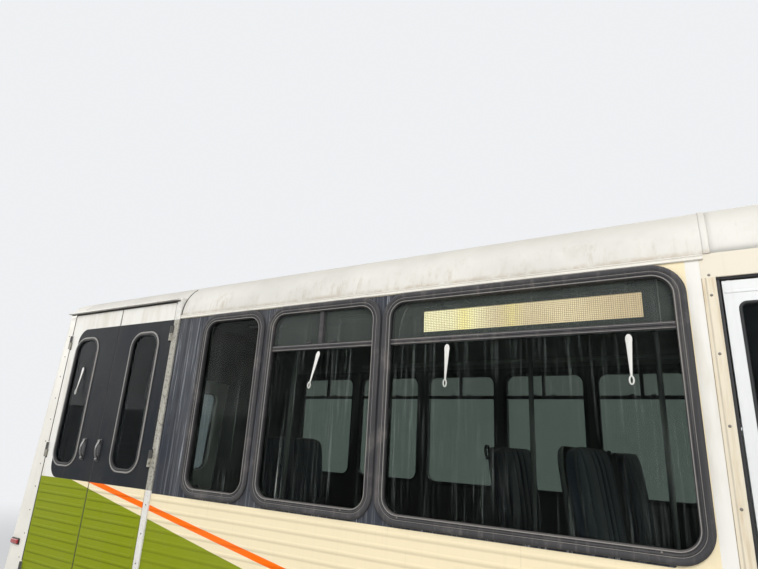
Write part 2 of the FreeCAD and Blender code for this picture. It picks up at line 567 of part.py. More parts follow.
def cab():
    outer, inner = cab_hull(0), cab_hull(cab_wall)
    shell = outer.cut(inner)
    big = 4000.0
    arch = arch_cut(x_front_axle, -half - 100, half + 100)

    hood = shell.common(box(hood_x0, big, -hood_half, hood_half, hood_low, big))
    cowl_hinges = []
    for y in (-hood_half + 100, 0.0, hood_half - 100):
        knuckle, sleeve, notch = hinge((hood_pivot[0], y, hood_pivot[1]), 80, (-1, 0), (1, 0), (14, 14), "y", 6)
        hood = hood.cut(notch).fuse(sleeve)
        cowl_hinges.append(knuckle)
    save("hood", hood.removeSplitter())

    gap = hood_seam
    fender_zone = shell.common(box(door_x1 + panel_gap, big, -big, big, 0, big)).cut(arch)
    fender_zone = fender_zone.cut(box(hood_x0 - hood_rear_gap, big, -hood_half - gap, hood_half + gap, hood_low - gap, big))
    fender_zone = fender_zone.cut(box(door_x1 - 10, hood_x0 - hood_rear_gap, -big, big, cowl_z - 120, big))
    fender_zone = fender_zone.cut(box(door_x1 - 10, hood_x0 - hood_rear_gap, -cab_half + cab_wall + 1, cab_half - cab_wall - 1, 0, big))
    fender_zone = fender_zone.cut(box(door_x1 - 10, x_front_axle - 240, -half - 10, 0, 0, big))
    front = box(hood_front_x - 120, big, -lamp_half, lamp_half, lamp_z0, lamp_z1)
    fenders = fender_zone.cut(front).cut(box(hood_front_x - 150, big, -hood_half, hood_half, 0, 650))
    leaf = shell.common(prism(door_outline(panel_gap), "xz", cab_half - 260, cab_half + 50))
    for height in cab_hinge_heights:
        z, arm = cab_door_z0 + height, hinge_length / 2
        knuckle, sleeve, notch = hinge((door_x1, cab_half + 3, z), hinge_length, (0, -1), (0, -1), (16, 16))
        fenders = fenders.cut(rod((door_x1, cab_half + 3, z - 0.3), (door_x1, cab_half + 3, z + arm + 5), hinge_room))
        fenders = fenders.fuse(fuse([knuckle, box(door_x1, door_x1 + 20, cab_half - 16, cab_half + 3, z - arm, z - 0.3)]))
        strap = box(door_x1 - 20, door_x1, cab_half - 16, cab_half + 3, z, z + arm)
        strap = strap.cut(rod((door_x1, cab_half + 3, z), (door_x1, cab_half + 3, z + arm), 4.55))
        leaf = leaf.cut(notch).fuse(fuse([sleeve, strap]))
    save("front_panels", fenders)

    # upright slats and a surround, set in the front between the lamps
    nose = outer.common(box(hood_front_x - 70, big, -grille_half, grille_half, lamp_z0, lamp_z1))
    holes = []
    for row in range(grille_rows):
        z = lamp_z0 + 24 + row * (lamp_z1 - lamp_z0 - 48 + 10) / grille_rows
        for col in range(grille_columns):
            y = -grille_half + 26 + col * (2 * grille_half - 52 + 12) / grille_columns
            w = (2 * grille_half - 52 + 12) / grille_columns - 12
            h = (lamp_z1 - lamp_z0 - 48 + 10) / grille_rows - 10
            holes.append(box(hood_front_x - 80, big, y, y + w, z, z + h))
    save("grille", nose.cut(Part.makeCompound(holes)).cut(box(0, hood_front_x - 45, -grille_half + 20, grille_half - 20, lamp_z0 + 20, lamp_z1 - 20)))

    lamps = [outer.common(box(hood_front_x - 100, big, s0, s1, lamp_z0, lamp_z1))
             for s0, s1 in ((grille_half + 1, lamp_half - 1), (-lamp_half + 1, -grille_half - 1))]
    save("head_lamps", *lamps)

    # pillars, cowl, header and left door surround
    rear_zone = shell.common(box(x_cab_back, hood_x0 - hood_rear_gap, -big, big, cab_bottom, header_z))
    rear_zone = rear_zone.cut(box(x_front_axle - 240, hood_x0 - hood_rear_gap, -big, 0, 0, cowl_z - 120))
    rear_zone = rear_zone.cut(box(door_x1 - 1, hood_x0 - hood_rear_gap, 0, big, cab_door_z0, cowl_z - 120))
    rear_zone = rear_zone.cut(box(door_x1 + panel_gap - 0.3, hood_x0 - hood_rear_gap, 0, big, 0, cab_door_z0))
    rear_zone = rear_zone.cut(box(x_cab_back - 10, entry_frame_x1, -half - 10, -half + 300, 0, big))
    cowl_pane = box(entry_frame_x1 + 30, x_front_axle - 280, -half - 10, -cab_half + 160, belt_z + 60, big)
    cowl_pane = common(cowl_pane, side_under_screen(70), box(0, big, -big, big, 0, header_z - 90))
    rear_zone = rear_zone.cut(cowl_pane)
    rear_zone = rear_zone.cut(box(x_cab_back - 10, x_cab_back + 5, -big, big, 0, big).common(inner))
    rear_zone = rear_zone.cut(arch)
    door_hole = prism(door_outline(0), "xz", cab_half - 260, cab_half + 50)
    rear_zone = rear_zone.cut(door_hole)
    pane_zone = windscreen_zone(0)
    rear_zone = rear_zone.cut(pane_zone)
    # the filler between the saloon's wall and the driver's door
    corner = prism([(x_cab_back, half), (x_cab_back + 40, half, 24), (x_cab_back + 74, cab_half - 4),
                    (x_cab_back + 44, cab_half - 4), (x_cab_back + 18, half - cab_wall), (x_cab_back, half - cab_wall)],
                   "xy", skirt_z, header_z)
    save("cab_shell", fuse([rear_zone, corner] + cowl_hinges))

    pane = outer.cut(cab_hull(8)).common(windscreen_zone(seat_gap))
    g = seat_gap
    quarter = box(entry_frame_x1 + 30 + g, x_front_axle - 280 - g, -half - 10, -cab_half + 160, belt_z + 60 + g, big)
    quarter = common(quarter, side_under_screen(70 + g), box(0, big, -big, big, 0, header_z - 90 - g))
    save("cab_glass", pane, cab_hull(8).cut(cab_hull(14)).common(quarter))

    window = prism([(door_x0 + 60, belt_z + 40, 40), (door_x1 - 130, belt_z + 40, 30), (door_x1 - 330, 1935, 60),
                    (door_x0 + 60, 1935, 60)], "xz", cab_half - 300, cab_half + 60)
    save("driver_door", leaf.cut(window))
    g = seat_gap
    window_in = prism([(door_x0 + 60 + g, belt_z + 40 + g, 40), (door_x1 - 130 - g, belt_z + 40 + g, 30),
                       (door_x1 - 330 - g, 1935 - g, 60), (door_x0 + 60 + g, 1935 - g, 60)],
                      "xz", cab_half - 300, cab_half + 60)
    save("driver_glass", cab_hull(8).cut(cab_hull(14)).common(window_in))


def side_under_screen(inset):
    """What lies under the windscreen's plane, brought down by the inset."""
    return prism([(x_cab_back - 50, 0), (cowl_x - inset, 0), (cowl_x - inset, cowl_z - inset),
                  (header_x - inset, header_z - inset), (x_cab_back - 50, header_z - inset)], "xz", -half - 50, half + 50)


def door_outline(inset):
    return [(door_x0 + inset, cab_door_z0 + inset, 60), (door_x1 - inset - 50, cab_door_z0 + inset, 40),
            (door_x1 - inset, 640.0, 60), (door_x1 - inset, belt_z + 20), (door_x1 - inset - 265, cab_door_z1 - inset, 60),
            (door_x0 + inset * 3.4, cab_door_z1 - inset, 60)]


def windscreen_zone(inset):
    """The block, square to the screen, that the windscreen's opening is cut by."""
    slope = math.degrees(math.atan2(header_z - cowl_z, cowl_x - header_x))
    run = math.hypot(header_z - cowl_z, cowl_x - header_x)
    low_half, high_half = cab_half - screen_inset - inset, cab_half - screen_inset - 70 - inset
    flat = prism([(-low_half, 70 + inset, 60), (low_half, 70 + inset, 60), (high_half, run - 50 - inset, 60),
                  (-high_half, run - 50 - inset, 60)], "yz", -120, 60)
    lying = turned(flat, -(90 - slope), (0, 0, 0), (0, 1, 0))
    lying.translate(V(cowl_x, 0, cowl_z))
    return lying


def front_cap():
    """The moulded cap over the cab, from the roof joint to above the windscreen."""
    cap_front = x_front_axle - 365.0

    def hull(inset):
        low = header_z if inset == 0 else header_z - 100
        section = across(roof_section(inset, low), x_cab_back - inset / 4, cap_front + 60)
        side = prism([(x_cab_back - 20, low), (cap_front - 60 - inset, low), (cap_front - inset, header_z + 70, 60),
                      (cap_front - 110 - inset, crown_z - 30 - inset, 330), (x_cab_back - 20, crown_z + 8 - inset)],
                     "xz", -half - 20, half + 20)
        plan = prism([(x_cab_back - 20, -half + inset), (entry_frame_x1 + 49 - inset / 2, -half + inset, 60),
                      (cap_front + 4 - inset, -half + 420, 260), (cap_front + 4 - inset, half - 420, 260),
                      (x_front_axle - 620, half - inset, 300), (x_cab_back - 20, half - inset)],
                     "xy", low - 10, crown_z + 50)
        # the left side tucks in under the drip line to meet the cab
        tuck = prism([(cab_half - 60 - inset, low - 10), (cab_half - 60 - inset, header_z), (half - inset, 2400.0),
                      (half + 10, 2400.0), (half + 10, low - 10)], "yz", x_cab_back - 30, cap_front + 70)
        return common(section, side, plan).cut(tuck)
    outer = hull(0)
    shell = outer.cut(hull(cab_wall))
    post = box(x_cab_back - 10, entry_frame_x1, -half - 10, -half + 60, 0, drip_z)
    # a sill under it, round the cab's open top
    sill = common(outer, box(x_cab_back, cap_front + 20, -half, half, header_z, header_z + 16))
    sill = sill.cut(box(x_cab_back - 20, header_x - 40, -half - 20, cab_half - 190, 0, 4000))
    save("front_cap", fuse([shell, sill]).cut(post))


def on_column(reach):
    """A point on the steering column's axis, at a reach up it from the steering wheel's middle."""
    tilt = math.radians(column_tilt)
    return (wheel_x - math.sin(tilt) * reach, driver_y, wheel_z + math.cos(tilt) * reach)


def cab_inside():
    x0, x1 = x_cab_back, firewall_x
    deck = box(x0, x1, -entry_well_y, cab_half - cab_wall - 4, floor_bottom, floor_z)
    deck = deck.cut(box(x_front_axle - arch_r - 20, x1 + 10, house_y, cab_half, 0, floor_z + 20))
    firewall = box(x1, x1 + 20, -house_y, house_y, floor_bottom, cowl_z - 100)
    out = cab_half - cab_wall - 6
    right = prism([(entry_x1 + 0.3, -entry_well_y), (entry_x1 + 0.3, -half + wall + 5), (entry_frame_x1 - 14, -half + wall + 5),
                   (x_front_axle - 256, -out), (x1, -out), (x1, -entry_well_y)], "xy", floor_bottom, floor_z)
    right = right.cut(box(x_front_axle - arch_r - 20, x1 + 10, -out - 1, -house_y, 0, floor_z + 20))
    houses = []
    for side in (-1, 1):
        y0, y1 = sorted((side * house_y, side * out))
        bow = rod((x_front_axle, y0, axle_z), (x_front_axle, y1, axle_z), arch_r + house_thick)
        bow = bow.cut(rod((x_front_axle, y0 + (0 if side < 0 else house_thick), axle_z),
                          (x_front_axle, y1 - (0 if side > 0 else house_thick), axle_z), arch_r))
        bow = bow.common(box(x_front_axle - arch_r - 20 - 8, x1 + 20, y0, y1, floor_bottom, cowl_z))
        edge = box(x_front_axle - arch_r - 20 - 2, x_front_axle - arch_r + 60, y0, y1, floor_z - 12, floor_z)
        edge = edge.cut(rod((x_front_axle, y0, axle_z), (x_front_axle, y1, axle_z), arch_r))
        wing = box(x1, x1 + 20, y0, y1, axle_z + arch_r, cowl_z - 100)
        houses += [bow, edge, wing.cut(rod((x_front_axle, y0, axle_z), (x_front_axle, y1, axle_z), arch_r))]
    w, top = engine_w / 2 + 5, engine_z0 + engine_h + 10
    hollow = box(x1 - 680, x1 + 30, -w, w, 0, top)
    tunnel = box(x1 - 700, x1, -w - 20, w + 20, floor_z, top + 20)
    save("cab_floor", fuse([deck, right, firewall, tunnel] + houses).cut(hollow))

    dash = prism([(x1 - 250, 1160), (x1 - 210, 1250, 30), (x1 - 0.2, 1235), (x1 - 0.2, 1100), (x1 - 140, 1100, 40)],
                 "xz", -cab_half + screen_inset, cab_half - screen_inset)
    column = [rod(on_column(-66), on_column(-230), 32), rod(on_column(-50), on_column(-70), 12)]
    save("dashboard", fuse([dash] + column))


def seats():
    """Double seats on the left up to the wheel box, one on the right, and one behind the box where it fits."""
    first = x_cab_back - 541
    fits = int((first + 120 - x_rear_axle - wheel_box_half - 10) / seat_pitch) + 1
    rows = [(first, -1)] + [(first - seat_pitch * i, 1) for i in range(fits)]
    behind = x_rear_axle - wheel_box_half - 909
    if behind > x_rear + wall + 200:
        rows.append((behind, 1))
    cushions, stands = [], []
    outer = half - wall - seat_wall_gap
    low, top = floor_z + cushion_h, floor_z + cushion_h + cushion_thick
    for back_x, side in rows:
        y0, y1 = sorted((side * outer, side * (outer - seat_width)))
        base = box(back_x + 40, back_x + 40 + seat_depth, y0, y1, low, top)
        back = prism([(back_x + 20, top), (back_x + 120, top), (back_x + 40, top + back_h, 30),
                      (back_x - 50, top + back_h, 30)], "xz", y0, y1)
        cushions += fuse([base, back]).Solids
        for leg_y in (y0 + 120, y1 - 120 - leg_w):
            stands.append(box(back_x + 120, back_x + 400, leg_y, leg_y + leg_w, floor_z, low))
    save("seat_cushions", *cushions)
    save("seat_legs", *stands)

    dx, dy = x_front_axle - 1100.0, driver_y
    pad = box(dx, dx + 500, dy - 240, dy + 240, floor_z + 300, floor_z + 420)
    back = prism([(dx - 60, floor_z + 420), (dx + 70, floor_z + 420), (dx - 30, floor_z + 1090, 40), (dx - 140, floor_z + 1090, 40)],
                 "xz", dy - 230, dy + 230)
    plinth = box(dx + 60, dx + 440, dy - 180, dy + 180, floor_z, floor_z + 300)
    save("driver_seat", fuse([pad, back, plinth]))


def ceiling(y):
    """Height of the roof's underside, less a hair, at a distance out from the middle."""
    inner_r = crown_r - wall
    return crown_z - wall - inner_r + math.sqrt(inner_r ** 2 - y ** 2) - 0.1


def inside_fittings():
    # blank moving-text sign behind the front side window's upper pane
    x0, x1 = window_x2 + 174, window_x3 - 101
    sign = box(x0, x1, -half + 62, -half + 132, 2235, 2370)
    ears = [box(x, x + 40, -half + wall + 0.2, -half + 70, 2362, 2440) for x in (x0 + 60, x1 - 100)]
    save("side_sign", fuse([sign] + ears))

    # the lift, folded upright behind its doors
    lx0, lx1 = lift_x0 + 90, lift_x1 - 150
    towers = [box(x, x + 90, -half + 70, -half + 190, floor_z, 1900) for x in (lx0, lx1 - 90)]
    plate = box(lx0 + 96, lx1 - 96, -half + 110, -half + 140, floor_z + 60, floor_z + 1180)
    bars = [box(lx0 + 80, lx1 - 80, -half + 140, -half + 180, z, z + 40) for z in (floor_z + 80, floor_z + 700)]
    top = box(lx0, lx1, -half + 90, -half + 150, 1840, 1900)
    save("lift_platform", fuse(towers + [plate, top] + bars))

    # stanchions and a rail under the ceiling
    rails = []
    x0, x1, z = lift_x1 + 264, x_cab_back - 71, floor_z + rail_h
    for x, y in ((x_cab_back - 46, -stanchion_y), (x_cab_back - 271, stanchion_y), (x_cab_back - 1021, stanchion_y)):
        rails.append(rod((x, y, floor_z), (x, y, ceiling(stanchion_y + rail_r)), rail_r))
    rails.append(rod((x0, -rail_inset_y, floor_z), (x0, -rail_inset_y, z), rail_r))
    for side in (-1, 1):
        y = side * rail_inset_y
        rails.append(rod((x0, y, z), (x1, y, z), rail_r))
        rails += [rod((x, y, z), (x, y, ceiling(rail_inset_y + bracket_r)), bracket_r) for x in (x0 + 100, x1 - 600)]
    save("grab_rails", fuse(rails))


def saloon_floor():
    deck = box(x_rear + wall + 40, x_cab_back - 0.3, -half + wall, half - wall, floor_bottom, floor_z)
    inner_rear = body_hull(wall)
    deck = deck.common(inner_rear).cut(box(lift_x0 - 5, lift_x1 + 5, -half, -half + 48, 0, floor_z + 1))
    deck = deck.cut(box(entry_frame_x0 - 20, x_cab_back + 1, -half, -entry_well_y, 0, floor_z + 1))
    lids = []
    for side in (-1, 1):
        ys = sorted((side * (half - wall), side * 640))
        hole = box(x_rear_axle - wheel_box_half, x_rear_axle + wheel_box_half, ys[0], ys[1], 0, floor_z + 1)
        deck = deck.cut(hole)
        ys_in = sorted((side * (half - wall), side * 655))
        lid = box(x_rear_axle - wheel_box_half, x_rear_axle + wheel_box_half, ys[0], ys[1], floor_bottom, floor_z + 150)
        lids.append(lid.cut(box(x_rear_axle - wheel_box_half + 15, x_rear_axle + wheel_box_half - 15, ys_in[0], ys_in[1],
                                0, floor_z + 135)))

    # steps inside the entry door
    y_out, y_mid, y_in = -half + 60, -half + 330, -entry_well_y
    sx0, sx1 = entry_frame_x0 - 20 + 0.3, entry_x1
    steps = [box(sx0, sx1, y_out, y_mid, 340, 355), box(sx0, sx1, y_mid - 15, y_mid, 355, 570),
             box(sx0, sx1, y_mid - 15, y_in, 555, 570), box(sx0, sx1, y_in - 15, y_in, 570, floor_z)]
    for x in (sx0, sx1 - 12):
        steps.append(box(x, x + 12, y_out, y_in, 355, floor_z).cut(box(x - 1, x + 13, y_mid, y_in + 1, 0, 555)))
    save("floor", fuse([deck] + lids + steps))


def chassis():
    rail_y, rail_w = frame_rail_y, 70.0
    x_front, x_back = hood_front_x - cab_wall - seat_gap, rail_tail
    pieces = []
    for side in (-1, 1):
        y = side * rail_y
        rail = box(x_back, x_front, y - rail_w / 2, y + rail_w / 2, rail_z0, rail_z1)
        web = sorted((y - side * (rail_w / 2 + 1), y + side * (rail_w / 2 - 8)))
        rail = rail.cut(box(x_back - 1, x_front + 1, web[0], web[1], rail_z0 + 8, rail_z1 - 8))
        pieces.append(rail)
        hook = box(x_back + 10, x_back + 130, *sorted((y + side * 27, y + side * 35)), rail_z0 - 60, rail_z0 + 4)
        pieces.append(hook.cut(rod((x_back + 60, y - 60, rail_z0 - 30), (x_back + 60, y + 60, rail_z0 - 30), 18)))
    for x in cross_members:
        pieces.append(box(x - 45, x + 45, -rail_y - 31, rail_y + 31, cross_z0, cross_z0 + 70))
    for x in outriggers:
        pieces.append(box(x - 35, x + 35, -half + 90, half - 90, rail_z1 - 2, floor_bottom))
    save("chassis_frame", fuse(pieces))


def running_gear():
    # rear axle with its differential and leaf springs
    tube = rod((x_rear_axle, -dual_y + 60, axle_z), (x_rear_axle, dual_y - 60, axle_z), axle_tube_r)
    stubs = [rod((x_rear_axle, s * (dual_y - 60), axle_z), (x_rear_axle, s * (dual_y + 60), axle_z), 42) for s in (-1, 1)]
    case = Part.makeSphere(165, V(x_rear_axle, 0, axle_z))
    snout = rod((x_rear_axle, 0, axle_z), (x_rear_axle + 260, 0, axle_z + 30), 60)
    save("rear_axle", fuse([tube, case, snout] + stubs))

    springs = []
    for side in (-1, 1):
        y = side * 545
        leaves = [box(x_rear_axle - 640 + 110 * i, x_rear_axle + 640 - 110 * i, y - 38, y + 38,
                      axle_z + 72 - 12 * i, axle_z + 84 - 12 * i)
                  for i in range(2)]
        clamp = box(x_rear_axle - 70, x_rear_axle + 70, y - 45, y + 45, axle_z + axle_tube_r + seat_gap, axle_z + 98)
        hangers = [box(x - 30, x + 30, *sorted((side * (frame_rail_y + 35.2), y + side * 38)), axle_z + 68, rail_z0 + 70)
                   for x in (x_rear_axle - 640, x_rear_axle + 640)]
        saddle = box(x_rear_axle - 50, x_rear_axle + 50, y - 45, y + 45, axle_z + 33, axle_z + 60).cut(
            rod((x_rear_axle, -900, axle_z), (x_rear_axle, 900, axle_z), axle_tube_r + seat_gap))
        springs.append(fuse(leaves + [clamp, saddle] + hangers))
    save("leaf_springs", *springs)

    # front beams, each reaching across to the far rail, with coil springs and leading arms
    beams = []
    for side in (-1, 1):
        x = x_front_axle + 28 * side
        pin_y = side * kingpin_y
        beam = rod((x_front_axle, pin_y, axle_z - 45), (x_front_axle, pin_y, axle_z + 45), 36)
        arm = box(x_front_axle - 25, x_front_axle + 25, *sorted((side * 500, pin_y)), axle_z - 38, axle_z + 38)
        across_arm = box(x - 24, x + 24, *sorted((-side * 380, side * 560)), axle_z - 38, axle_z + 38)
        end_boss = rod((x, -side * 380, axle_z), (x, -side * 380, rail_z0), 24)
        coil = rod((x_front_axle, side * 640, axle_z), (x_front_axle, side * 640, rail_z1), 55)
        seat_bracket = box(x_front_axle - 60, x_front_axle + 60, *sorted((side * (frame_rail_y + 35), side * 700)),
                           rail_z1 - 10, rail_z1 + 5)
        piece = fuse([beam, arm, across_arm, end_boss, coil, seat_bracket])
        beams.append(piece.cut(rod((x_front_axle, pin_y, 0), (x_front_axle, pin_y, 900), 14.05)))
    save("front_beams", *beams)

    for name, side in (("left", 1), ("right", -1)):
        y = side * kingpin_y
        pin = rod((x_front_axle, y, axle_z - 82), (x_front_axle, y, axle_z + 82), 14)
        ears = [box(x_front_axle - 34, x_front_axle + 34, *sorted((y - side * 34, y + side * 62)), z0, z0 + 36)
                for z0 in (axle_z - 82, axle_z + 46)]
        plate = box(x_front_axle - 34, x_front_axle + 34, *sorted((y + side * 42, y + side * 62)), axle_z - 82, axle_z + 82)
        spindle = rod((x_front_axle, y + side * 60, axle_z), (x_front_axle, y + side * 220, axle_z), 30)
        save("knuckle_" + name, fuse([pin, plate, spindle] + ears))

    shaft = fuse([rod((x_rear_axle + 262, 0, axle_z + 31), (x_front_axle - 1300, 0, engine_z0), 42),
                  rod((x_rear_axle + 261, 0, axle_z + 31), (x_rear_axle + 330, 0, axle_z + 38), 62)])
    save("drive_shaft", shaft)

    w, g = engine_w / 2, gearbox_w / 2
    block = box(x_front_axle - 680, x_front_axle + 250, -w, w, engine_z0, engine_z0 + engine_h)
    gearbox = box(x_front_axle - 1290, x_front_axle - 680, -g, g, engine_z0 - 120, engine_z0 + 130)
    feet = [box(x_front_axle - 40, x_front_axle + 60, *sorted((s * (w - 5), s * (frame_rail_y + 26.8))),
                engine_z0, engine_z0 + 40) for s in (-1, 1)]
    save("engine_block", fuse([block, gearbox] + feet))

    save("fuel_tank", box(x_rear + 454, x_rear_axle - 699, -220, 385, cross_z0 - 210, cross_z0))
    pipe_y, pipe_z, silencer_z = -300, axle_z + axle_tube_r + pipe_clear + pipe_r, rail_z0 - 50
    exhaust = [rod((x_front_axle - 900, pipe_y, pipe_z), (x_rear - 20, pipe_y, pipe_z), pipe_r),
               rod((x_cab_back - 871, pipe_y, silencer_z), (x_cab_back - 211, pipe_y, silencer_z), 105)]
    exhaust += [box(x - 12, x + 12, pipe_y - 15, pipe_y + 15, pipe_z, cross_z0)
                for x in (cross_members[0], cross_members[3], cross_members[5])]
    save("exhaust", fuse(exhaust))


def tyre(y, x):
    """A tyre standing on the ground, turned about its axle."""
    w = tyre_w / 2
    outline = [(rim_r + 2, -w + 26), (rim_r + 2, w - 26), (rim_r + 22, w - 12, 10), (rim_r + 90, w, 60),
               (tyre_r - 14, w - 8, 18), (tyre_r, w - 26, 16), (tyre_r, -w + 26, 16), (tyre_r - 14, -w + 8, 18),
               (rim_r + 90, -w, 60), (rim_r + 22, -w + 12, 10)]
    ring = Part.Face(wire([(p[1], p[0]) + tuple(p[2:]) for p in outline], "yz", 0)).revolve(V(0, 0, 0), V(0, 1, 0), 360)
    ring.translate(V(x, y, axle_z))
    return ring


def rim(y, x, outward, disc_at, hub_r, hub_reach, meet=62.0):
    """A steel rim: a barrel with lips, a disc with hand holes, and a hub. outward is +1 or -1 along Y."""
    w = tyre_w / 2 - 26
    barrel = Part.Face(wire([(-w - 8, rim_r - 18), (-w - 8, rim_r + 1.7), (w + 8, rim_r + 1.7), (w + 8, rim_r - 18), (w - 4, rim_r - 12),
                             (-w + 4, rim_r - 12)], "yz", 0)).revolve(V(0, 0, 0), V(0, 1, 0), 360)
    disc = Part.Face(wire([(disc_at - 5, hub_r), (disc_at + 5, hub_r), (disc_at + 5, 120), (meet + 5, rim_r - 11), (meet - 5, rim_r - 11),
                           (disc_at - 5, 116)], "yz", 0)).revolve(V(0, 0, 0), V(0, 1, 0), 360)
    holes = []
    for i in range(8):
        a = math.radians(45 * i)
        c, d = 155 * math.cos(a), 155 * math.sin(a)
        holes.append(rod((c, disc_at - 90, d), (c, disc_at + 20, d), 17))
    hub = rod((0, hub_reach[0], 0), (0, hub_reach[1], 0), 64).cut(rod((0, hub_reach[0] - 1, 0), (0, hub_reach[1] - 14, 0), hub_r))
    piece = fuse([barrel, disc.cut(Part.makeCompound(holes)), hub])
    if outward < 0:
        piece = mirrored(piece)
    piece.translate(V(x, y, axle_z))
    return piece


def wheels():
    for name, side in (("left", 1), ("right", -1)):
        y = side * front_track_y
        save("front_tyre_" + name, tyre(y, x_front_axle))
        save("front_rim_" + name, rim(y, x_front_axle, side, 120, 30.05, (-15, 150)))
        y_in, y_out = side * (dual_y - dual_half), side * (dual_y + dual_half)
        save("rear_tyres_" + name, tyre(y_in, x_rear_axle), tyre(y_out, x_rear_axle))
        outer = rim(y_out, x_rear_axle, -side, dual_half - 6, 60, (dual_half - 12, dual_half - 2))
        inner = rim(y_in, x_rear_axle, side, dual_half - 6, 60, (dual_half - 12, dual_half - 2))
        hub = rod((x_rear_axle, side * (dual_y - 50), axle_z), (x_rear_axle, side * (dual_y + 200), axle_z), 70)
        flange = rod((x_rear_axle, side * (dual_y - 14), axle_z), (x_rear_axle, side * (dual_y + 14), axle_z), 112)
        bore = rod((x_rear_axle, side * (dual_y - 60), axle_z), (x_rear_axle, side * (dual_y + 61), axle_z), 42.05)
        save("rear_rim_" + name, fuse([outer, inner, hub, flange]).cut(bore))


def outside_fittings():
    # bumpers
    front = prism([(x_nose - 90, -1010), (x_nose - 60, -1010, 30), (x_nose, -860, 120), (x_nose, 860, 120), (x_nose - 60, 1010, 30),
                   (x_nose - 90, 1010), (x_nose - 50, 860, 80), (x_nose - 50, -860, 80)], "xy", bumper_z0, bumper_z1)
    arms = [box(hood_front_x - cab_wall, x_nose - 30, s * frame_rail_y - 30, s * frame_rail_y + 30, rail_z0, rail_z0 + 80)
            for s in (-1, 1)]
    holes = [rod((x_nose - 80, y, plate_front_z), (x_nose + 10, y, plate_front_z), plate_hole_r)
             for y in (-plate_hole_y, plate_hole_y)]
    save("front_bumper", fuse([front] + arms).cut(Part.makeCompound(holes)))
    rear = box(x_tail, x_tail + rear_bumper_depth, -half + 40, half - 40, rear_bumper_z0, rear_bumper_z1)
    rear = rear.cut(box(x_tail + 6, x_tail + rear_bumper_depth + 10, -half + 46, half - 46, rear_bumper_z0 - 10, rear_bumper_z1 - 6))
    rear = rear.fuse(box(x_tail + 3, rail_tail - seat_gap, -frame_rail_y - 45, frame_rail_y + 45, rail_z0 + 10, rail_z0 + 30))
    for y in (-plate_hole_y, plate_hole_y):
        rear = rear.cut(rod((x_tail - 10, y, plate_rear_z), (x_tail + 20, y, plate_rear_z), plate_hole_r))
    save("rear_bumper", rear)

    # mirrors
    heads = []
    for side, x in ((1, door_x1 + 70), (-1, x_front_axle - 190)):
        y_in, y_head, z = side * (cab_half + 0.2), side * (cab_half + 280), 1395.0
        head = box(x - 40, x + 40, *sorted((y_head - side * 10, y_head + side * 190)), z - 30, z + 350)
        head = head.makeFillet(24, head.Edges)
        low_bar = rod((x, y_in + side * 8, z - 150), (x, y_head + side * 20, z + 10), 10)
        foot = box(x - 30, x + 30, *sorted((y_in, y_in + side * 20)), z - 168, z - 80)
        head = fuse([head, foot, low_bar, rod((x, y_in + side * 8, z - 100), (x, y_head + side * 20, z + 80), 10)])
        heads.append(head)
    save("mirrors", *heads)

    # tail lamps and marker lamps
    tails = []
    for side in (-1, 1):
        for z in (tail_lamp_z, tail_lamp_z + 150, tail_lamp_z + 300):
            y = side * (half - 219)
            tails.append(lean(rod((x_rear - 0.2, y, z), (x_rear - 26, y, z), 56)))
    save("tail_lamps", *tails)


def steering_wheel():
    ring = Part.makeTorus(190, 15, V(0, 0, 0), V(0, 0, 1))
    spokes = [rod((0, 0, -20), (190 * math.cos(a), 190 * math.sin(a), 0), 12) for a in (0, math.radians(120), math.radians(240))]
    hub = rod((0, 0, -60), (0, 0, 10), 42)
    wheel = fuse([ring, hub] + spokes).cut(rod((0, 0, -61), (0, 0, -49.7), 12.05))
    wheel = turned(wheel, -column_tilt, (0, 0, 0), (0, 1, 0))
    wheel.translate(V(wheel_x, driver_y, wheel_z))
    save("steering_wheel", wheel)


body_panels()
windows()
lift_doorway()
entry_doorway()
roof_hatch()
cab()
front_cap()
cab_inside()
seats()
inside_fittings()
saloon_floor()
chassis()
running_gear()
wheels()
outside_fittings()
steering_wheel()
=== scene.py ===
import math

import bmesh
import bpy
import numpy as np
from mathutils import Matrix, Vector


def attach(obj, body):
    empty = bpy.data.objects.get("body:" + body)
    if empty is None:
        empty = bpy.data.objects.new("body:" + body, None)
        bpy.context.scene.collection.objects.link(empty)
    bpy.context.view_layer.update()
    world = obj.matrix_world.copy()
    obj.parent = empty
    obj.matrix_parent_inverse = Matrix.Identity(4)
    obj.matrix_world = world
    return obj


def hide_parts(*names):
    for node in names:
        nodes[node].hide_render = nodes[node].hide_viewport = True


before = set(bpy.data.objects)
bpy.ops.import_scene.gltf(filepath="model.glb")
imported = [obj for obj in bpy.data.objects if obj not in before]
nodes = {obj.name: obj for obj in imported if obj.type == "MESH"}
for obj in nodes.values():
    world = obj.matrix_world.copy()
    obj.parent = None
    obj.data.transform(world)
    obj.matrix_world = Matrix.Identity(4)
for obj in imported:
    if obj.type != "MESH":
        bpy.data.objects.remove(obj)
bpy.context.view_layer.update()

# places that come from the CAD source, in metres
halfWidth = 1.219
cabHalf = 1.008
frontAxle, rearAxle, axleHeight = 2.444, -1.061, 0.372
rearSkin, rakeHeight, rake = -3.154, 1.3, math.radians(3.9)
cowlX, cowlZ, headerX, headerZ = 2.56, 1.34, 1.93, 2.04
noseX, tailX = 3.244, -3.244
dripZ, coveR = 2.45, 0.233
coveTop = math.radians(80)
crownY = halfWidth - coveR + coveR * math.cos(coveTop)
crownR = crownY / math.cos(coveTop)
crownZ = dripZ + coveR * math.sin(coveTop) + crownR - math.sqrt(crownR ** 2 - crownY ** 2)
liftFace = -1.227
print("frame loaded:", len(nodes), "CAD nodes")


# number helpers

def mm(*values):
    # pairs of millimetres as points in metres
    return np.array(values, float).reshape(-1, 2) / 1000


def span(middle, half):
    return middle - half, middle + half


def mirrored(side, a, b):
    # from a to b on the side where y has that sign, the lower end first
    return sorted((side * a, side * b))


